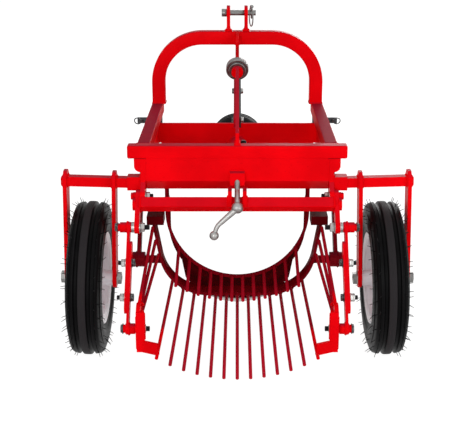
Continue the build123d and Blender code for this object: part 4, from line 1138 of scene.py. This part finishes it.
class HARVESTER_OT_adjuster(bpy.types.Operator):
    """Depth adjuster: arms, tube, screw and cast crank"""

    bl_idname = "harvester.adjuster"
    bl_label = "Adjuster"

    def execute(self, context):
        size = settings()
        dress(
            ["adjuster_tube", "crank_lugs", "crank_nut", *both("adjuster_arm")], "red_paint", size.edge_round)
        self.crank()
        nuts, ends, painted = Forge(), Forge(), Forge()
        for _, side in SIDES:
            out = X * side
            painted.bolt(at(side * ARM_OUTER, *ARM_PIVOT), out, 19 * MM, 8 * MM, 0.35)
            inner = at(side * ARM_INNER, *ARM_PIVOT)
            nuts.bolt(inner, -out, size.bolt_flats, 12 * MM, 0.2)
            ends.thread(inner - out * 13 * MM, -out, 7.5 * MM, 11 * MM)
            nuts.lathe(at(side * SPACER_FROM, *ROCKER_TOP), out, mm(
                (0, 12), (0, 15), (0.8, 16), (4.2, 16), (4.7, 15.2), (5.2, 16), (8.4, 16), (9.2, 15),
                (9.2, 12)), 28, True)
            seat = at(side * PIN_INNER, *ROCKER_TOP)
            nuts.bolt(seat, -out, size.bolt_flats * 1.08, 13 * MM, 0.2)
            ends.thread(seat - out * 15 * MM, -out, 8 * MM, 15 * MM)
            ends.bolt(at(side * PIN_OUTER, *ROCKER_TOP), out, size.bolt_flats, 7 * MM, 0.15)
        painted.place("adjuster_pivot_heads", "frame", "red_paint")
        nuts.place("adjuster_nuts", "frame", "zinc_steel")
        ends.place("adjuster_bolt_ends", "frame", "black_steel")
        beads = Forge(random.Random(13))
        for _, side in SIDES:
            corners = circle(at(side * TUBE_END, *TUBE_LINE), Y, Z, TUBE_REACH, 4)
            beads.seam([
                corners[i].lerp(corners[(i + 1) % 4], k / 12) for i in range(4) for k in range(12)],
                size.weld_size, True)
            for x in LUG_FACES:
                beads.weld(at(side * x, -84, 496), at(side * x, -61, 519.5), 1.1)
            x = side * LUG_FACES[1]
            beads.weld(at(x, -51, 519), at(x, -40, 505))
        for y, z, share in ((-54, 554, 0.8), (-26, 590, 1.2)):
            beads.weld(at(-BLOCK_HALF, y, z), at(BLOCK_HALF, y, z), share)
        for x in (-BLOCK_HALF, BLOCK_HALF):
            beads.weld(at(x, -26, 556), at(x, -26, 590), 1.2)
        beads.place("adjuster_welds", "frame", "red_paint", "bead_paint")
        return {"FINISHED"}

    def crank(self):
        """Cast crank: threaded screw, knuckle hub, tapered arm bent down to a ball."""
        nut, hub, ball = CRANK_NUT, CRANK_HUB, CRANK_BALL
        run = (hub - nut).normalized()
        reach = (hub - nut).length
        handle = Forge()
        handle.thread(nut - run * 6 * MM, run, 8 * MM, reach * 0.55)
        handle.lathe(nut + run * reach * 0.42, run, (
            (0, 0), (0, 7 * MM), (1 * MM, 8 * MM), (reach * 0.5, 8 * MM), (reach * 0.56, 8.6 * MM),
            (reach * 0.58, 0)), 24)
        handle.lathe(hub - run * 15 * MM, run, mm(
            (0, 0), (0, 9), (2, 12.6), (6, 15.4), (12, 16.8), (18, 16.6), (23, 15.2), (26, 12.4), (27.5, 7),
            (27.5, 0)), 36)
        corner = hub.lerp(CRANK_ELBOW, 0.97)
        arm = [(hub.lerp(corner, t), 9.6 - 2.4 * t) for t in (0.0, 0.12, 0.25, 0.4, 0.55, 0.7, 0.8)]
        turn_in, turn_out = hub.lerp(corner, 0.86), corner.lerp(ball, 0.45)
        for i in range(9):
            t = i / 8
            arm.append((turn_in.lerp(corner, t).lerp(corner.lerp(turn_out, t), t), 7.0 - 0.4 * t))
        arm += [(corner.lerp(ball, 0.7), 6.5), (ball, 6.4)]
        handle.sweep([place for place, _ in arm], [radius * MM for _, radius in arm], 20)
        angles = [math.pi * k / 16 for k in range(17)]
        profile = [(-BALL_RADIUS * math.cos(a), BALL_RADIUS * math.sin(a)) for a in angles]
        handle.lathe(ball, ball - corner, profile, 32)
        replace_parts(handle.place("cast_crank", "frame", "zinc_steel", "cast_steel", 50), "crank")


ROCKER_OUTER, ROCKER_LAP, ROCKER_INNER = 325, 317, 309  # faces of a rocker's bars, as X in millimetres
ROCKER_HALF = 17  # half a rocker's breadth
SIEVE_NUT, SIEVE_CAP = 274, 325.5  # faces at the rockers' feet
HANGER_NUT, HANGER_CAP, HANGER_EYE = 314.5, 327.5, 308.5  # faces at the hangers' tops and feet


class HARVESTER_OT_linkage(bpy.types.Operator):
    """Rockers and hangers with their bolts, bushes and spacers"""

    bl_idname = "harvester.linkage"
    bl_label = "Linkage"

    def execute(self, context):
        size = settings()
        dress(both("rocker"), "red_paint", size.edge_round)
        # The hangers take the darker crimson, as painted shade.
        dress(both("hanger"), "crimson_paint", size.edge_round, "sieve_paint")
        flats = size.bolt_flats
        nuts, heads = Forge(), Forge()
        beads = Forge(random.Random(17))
        slope = (ROCKER_FOOT - ROCKER_TOP).normalized()
        square = Vector((-slope.y, slope.x))
        for _, side in SIDES:
            out = X * side
            for share in (0.36, 0.7):
                spot = ROCKER_TOP.lerp(ROCKER_FOOT, share)
                face = at(side * ROCKER_OUTER, *spot)
                nuts.bolt(face, out, flats * 0.9, 12 * MM, 0.4)
                heads.thread(face + out * 14 * MM, out, 7 * MM, 9 * MM)
                heads.bolt(at(side * ROCKER_INNER, *spot), -out, flats * 0.9, 8 * MM, 0.1)
            for x, spot in ((ROCKER_OUTER, ROCKER_TOP), (ROCKER_INNER, ROCKER_FOOT)):
                beads.collar(at(side * x, *spot), out, 16.2 * MM, size.weld_size * 0.9)
            for way in (-1, 1):
                begin, close = [
                    at(side * ROCKER_LAP, *(ROCKER_TOP.lerp(ROCKER_FOOT, share) + square * ROCKER_HALF * way))
                    for share in (0.24, 0.46)]
                beads.weld(begin, close, 0.6)
        nuts.place("rocker_nuts", "rockers", "zinc_steel")
        heads.place("rocker_bolts", "rockers", "black_steel")
        beads.place("rocker_welds", "rockers", "red_paint", "bead_paint")
        caps, washers, tops, hubs = Forge(), Forge(), Forge(), Forge(beads.rng)
        for _, side in SIDES:
            out = X * side
            caps.bolt(at(side * HANGER_CAP, *HANGER_FOOT), out, flats, 10 * MM, 0.25)
            caps.bolt(at(side * SIEVE_CAP, *ROCKER_FOOT), out, flats, 5 * MM, 0.25)
            end = at(side * SIEVE_NUT, *ROCKER_FOOT)
            washers.bolt(end, -out, flats, 11 * MM, 0.25)
            caps.thread(end - out * 13 * MM, -out, 8 * MM, 11 * MM)
            tops.bolt(at(side * HANGER_NUT, *HANGER_TOP), out, flats * 0.8, 9 * MM, 0.25)
            hubs.collar(at(side * HANGER_EYE, *HANGER_FOOT), out, 23 * MM, size.weld_size * 0.8)
        caps.place("sieve_pin_heads", "sieve", "black_steel")
        washers.place("sieve_pin_nuts", "sieve", "zinc_steel")
        tops.place("hanger_pin_nuts", "frame", "zinc_steel")
        # The hanger welds take the darker crimson, as painted shade.
        hubs.place("hanger_welds", "hangers", "crimson_paint", "sieve_paint")
        return {"FINISHED"}


TINE_WELD, TINE_RADIUS, ROD_RADIUS = 2.2 * MM, 6.2 * MM, 6.4 * MM
TINE_GAPS = 12
BAND_LOW, BAND_FLAT, BAND_CORNER = 204, 90, 146  # height, half the flat and corner radius, in millimetres
ROOT_HALF, ROOT_Y = 198, -55  # half the tines' breadth at the band, and its Y from the axle
TIP_HALF, TIP_Y, TIP_CENTRE, TIP_RADIUS = 227, -375, 523, 445  # the same at the tips, and the arc they lie on
ROD_X, ROD_Y, ROD_FEET = 274, -282, (266, 242, 218)  # feet of the side frames' rods
ROD_RUN = (0.12, -1, -0.55)
SIDE_WELDS = ((262, -325.5, 176, 258, 0.7), (286, -334, 150, 250, 0.5))  # X, Y, heights and share of the size


def below(height, radius, x):
    """Height of a hollow arc at some way from its middle, from the arc's centre height and radius."""
    return height - math.sqrt(radius ** 2 - x ** 2)


class HARVESTER_OT_sieve(bpy.types.Operator):
    """Swinging sieve: strap, tines, side frames and welds"""

    bl_idname = "harvester.sieve"
    bl_label = "Sieve"

    def execute(self, context):
        size = settings()
        # The sieve band takes the crimson with painted shade, darkest at its ears.
        dress(["sieve_band"], "crimson_paint", size.edge_round, "band_paint")
        dress(["sieve_tines"], "crimson_paint", 0.8 * MM)
        # The side frames take the red with painted shade on their forward part.
        dress(both("sieve_side"), "red_paint", size.edge_round, "frame_side_paint")
        roots = Forge(random.Random(19))
        for i in range(1, TINE_GAPS):
            share = 2 * i / TINE_GAPS - 1
            over = max(0.0, abs(share) * ROOT_HALF - BAND_FLAT)
            root = at(share * ROOT_HALF, ROOT_Y, below(BAND_LOW + BAND_CORNER, BAND_CORNER, over))
            tip = at(share * TIP_HALF, TIP_Y, below(TIP_CENTRE, TIP_RADIUS, share * TIP_HALF))
            roots.collar(root, tip - root, TINE_RADIUS, TINE_WELD)
        # The tine root welds take the darker crimson, as painted shade.
        roots.place("tine_root_welds", "sieve", "crimson_paint", "sieve_paint")
        feet = Forge(roots.rng)
        for _, side in SIDES:
            run = Vector(ROD_RUN)
            run.x *= side
            for foot_z in ROD_FEET:
                feet.collar(at(side * ROD_X, ROD_Y, foot_z), run, ROD_RADIUS, TINE_WELD)
            for x, y, low, high, share in SIDE_WELDS:
                feet.weld(at(side * x, y, low), at(side * x, y, high), share)
        feet.place("side_frame_welds", "sieve", "red_paint", "bead_paint")
        return {"FINISHED"}


SHARE_INNER, SHARE_OUTER, SHARE_CENTRE = 214, 222, 448  # faces of the hoop and its centre's height
CHEEK_BACK, CHEEK_FRONT, CHEEK_TOP = 27, 103, 521  # its upper ends: Y from the axle, and height
BLADE_Y, BLADE_HALF_ANGLE, BLADE_STEPS = 39, 54, 120  # seam between hoop and blade
SHARE_TINES, SHARE_TINE_HALF = 12, 182
SHARE_ROOT, SHARE_ROOT_Y = 218, 25  # radius that the tines stand on, and its Y
SHARE_TIP_Y, SHARE_TIP_BEND = -168, 710  # Y of their tips, and how flat the curve through them is


class HARVESTER_OT_share(bpy.types.Operator):
    """Fixed share: hoop, digging blade and short tines"""

    bl_idname = "harvester.share"
    bl_label = "Share"

    def execute(self, context):
        size = settings()
        # The hoop takes the darker crimson, as painted shade and reflection.
        dress(["share_hoop"], "crimson_paint", size.edge_round, "soiled_paint")
        dress(["share_tines"], "crimson_paint", 0.8 * MM, "share_paint")
        dress(["share_blade"], "worn_blade", size.edge_round)
        beads = Forge(random.Random(29))
        for _, side in SIDES:
            for x in (side * SHARE_INNER, side * SHARE_OUTER):
                beads.weld(at(x, CHEEK_BACK, CHEEK_TOP), at(x, CHEEK_FRONT, CHEEK_TOP))
        line = []
        for k in range(BLADE_STEPS + 1):
            a = math.radians(BLADE_HALF_ANGLE * (2 * k / BLADE_STEPS - 1))
            line.append(at(SHARE_OUTER * math.sin(a), BLADE_Y, SHARE_CENTRE - SHARE_OUTER * math.cos(a)))
        beads.seam(line, size.weld_size * 0.9)
        for i in range(SHARE_TINES):
            x = SHARE_TINE_HALF * (2 * i / (SHARE_TINES - 1) - 1)
            root = at(x, SHARE_ROOT_Y, below(SHARE_CENTRE, SHARE_ROOT, x))
            tip = at(x, SHARE_TIP_Y, SHARE_CENTRE - SHARE_ROOT + x ** 2 / SHARE_TIP_BEND)
            beads.collar(root, tip - root, TINE_RADIUS, TINE_WELD)
        # The share welds take the hoop's darker crimson, as painted shade and reflection.
        beads.place("share_welds", "frame", "crimson_paint", "soiled_paint")
        return {"FINISHED"}


SENSOR, VIEW_END = 36, 60
FLOOR_REACH, FLOOR_THICK = 14.0, 0.02
FLOOR_GLOW, FLOOR_SHARE = 1.27, 0.75  # light of the floor as the camera sees it, and how much of it that is
LAMPS = (  # name, setting of its power, place, height that it looks at, breadth
    ("key_lamp", "key_power", (-0.8, -3.8, 1.7), 0.5, 2.2),
    ("fill_lamp", "fill_power", (2.4, -2.6, 1.1), 0.45, 1.8),
    ("front_lamp", "front_power", (1.2, 3.8, 1.6), 0.5, 2.2),
    ("top_lamp", "top_power", (0.2, 0.4, 3.0), 0.4, 2.4),
)


class HARVESTER_OT_stage(bpy.types.Operator):
    """Pale floor, soft lamps, white surroundings and the camera"""

    bl_idname = "harvester.stage"
    bl_label = "Studio"

    def execute(self, context):
        scene = context.scene
        studio = scene.harvester_stage
        scene.view_settings.view_transform = "Standard"
        self.floor()
        self.surroundings(scene, studio.ambient)
        for name, power, place, height, breadth in LAMPS:
            self.lamp(scene, name, getattr(studio, power), Vector(place), height, breadth)
        view = bpy.data.cameras.new("camera")
        view.sensor_width = SENSOR
        view.sensor_fit = "HORIZONTAL"
        view.lens = studio.lens
        view.shift_x = studio.aside
        view.clip_end = VIEW_END
        camera = bpy.data.objects.new("camera", view)
        camera.location = studio.camera_place
        camera.rotation_euler = (math.pi / 2 - studio.pitch, 0, 0)
        scene.collection.objects.link(camera)
        scene.camera = camera
        return {"FINISHED"}

    def floor(self):
        """Matt floor that looks nearly white to the camera."""
        g = surface("studio_floor")
        g.set(Base_Color=g.mix(g.noise(3.0, 2.0), *FLOOR_TONES), Roughness=0.9, Specular_IOR_Level=0.1)
        glow = g.add("ShaderNodeEmission", None, {"Color": WHITE, "Strength": FLOOR_GLOW})
        matt = Wire(g, g.shader.outputs[0])
        mixed = g.add("ShaderNodeMixShader", None, {0: g.seen() * FLOOR_SHARE, 1: matt, 2: glow})
        g.feed(g.tree.nodes["Material Output"].inputs["Surface"], mixed)
        plane = Forge()
        corners = [(x * FLOOR_REACH, y * FLOOR_REACH) for x, y in ((-1, -1), (1, -1), (1, 1), (-1, 1))]
        plane.skin([[Vector((x, y, z)) for x, y in corners] for z in (0, -FLOOR_THICK)])
        ground = plane.build("studio_floor", g.owner)

    def surroundings(self, scene, ambient):
        """White all round, weaker as light than as seen."""
        scene.world = bpy.data.worlds.new("studio_world")
        g = Graph(scene.world, "Background")
        g.set(Color=WHITE, Strength=ambient + (1.0 - ambient) * g.seen())

    def lamp(self, scene, name, power, place, height, breadth):
        """Round soft lamp that looks at the part."""
        data = bpy.data.lights.new(name, "AREA")
        data.energy = power
        data.shape = "DISK"
        data.size = breadth
        lamp = bpy.data.objects.new(name, data)
        lamp.location = place
        lamp.rotation_euler = (Z * height - place).to_track_quat("-Z", "Y").to_euler()
        scene.collection.objects.link(lamp)


STEPS = (
    HARVESTER_OT_finishes, HARVESTER_OT_frame, HARVESTER_OT_mast, HARVESTER_OT_hitch, HARVESTER_OT_wheels,
    HARVESTER_OT_stay, HARVESTER_OT_drive, HARVESTER_OT_adjuster, HARVESTER_OT_linkage, HARVESTER_OT_sieve,
    HARVESTER_OT_share, HARVESTER_OT_stage,
)


class HARVESTER_PT_panel(bpy.types.Panel):
    """Sidebar list of the harvester's pieces"""

    bl_idname = "HARVESTER_PT_panel"
    bl_label = "Harvester"
    bl_space_type = "VIEW_3D"
    bl_region_type = "UI"
    bl_category = "Harvester"

    def draw(self, context):
        column = self.layout.column(align=True)
        for step in STEPS:
            column.operator(step.bl_idname)


GROUPS = (FinishSettings, DetailSettings, StageSettings)


def register():
    for item in (*GROUPS, *STEPS, HARVESTER_PT_panel):
        bpy.utils.register_class(item)
    bpy.types.Scene.harvester_finish = PointerProperty(type=FinishSettings)
    bpy.types.Scene.harvester_details = PointerProperty(type=DetailSettings)
    bpy.types.Scene.harvester_stage = PointerProperty(type=StageSettings)


def unregister():
    del bpy.types.Scene.harvester_stage
    del bpy.types.Scene.harvester_details
    del bpy.types.Scene.harvester_finish
    for item in reversed((*GROUPS, *STEPS, HARVESTER_PT_panel)):
        bpy.utils.unregister_class(item)


def main():
    register()
    for step in STEPS:
        group, call = step.bl_idname.split(".")
        getattr(getattr(bpy.ops, group), call)()
    bpy.context.view_layer.update()


if __name__ == "__main__":
    main()
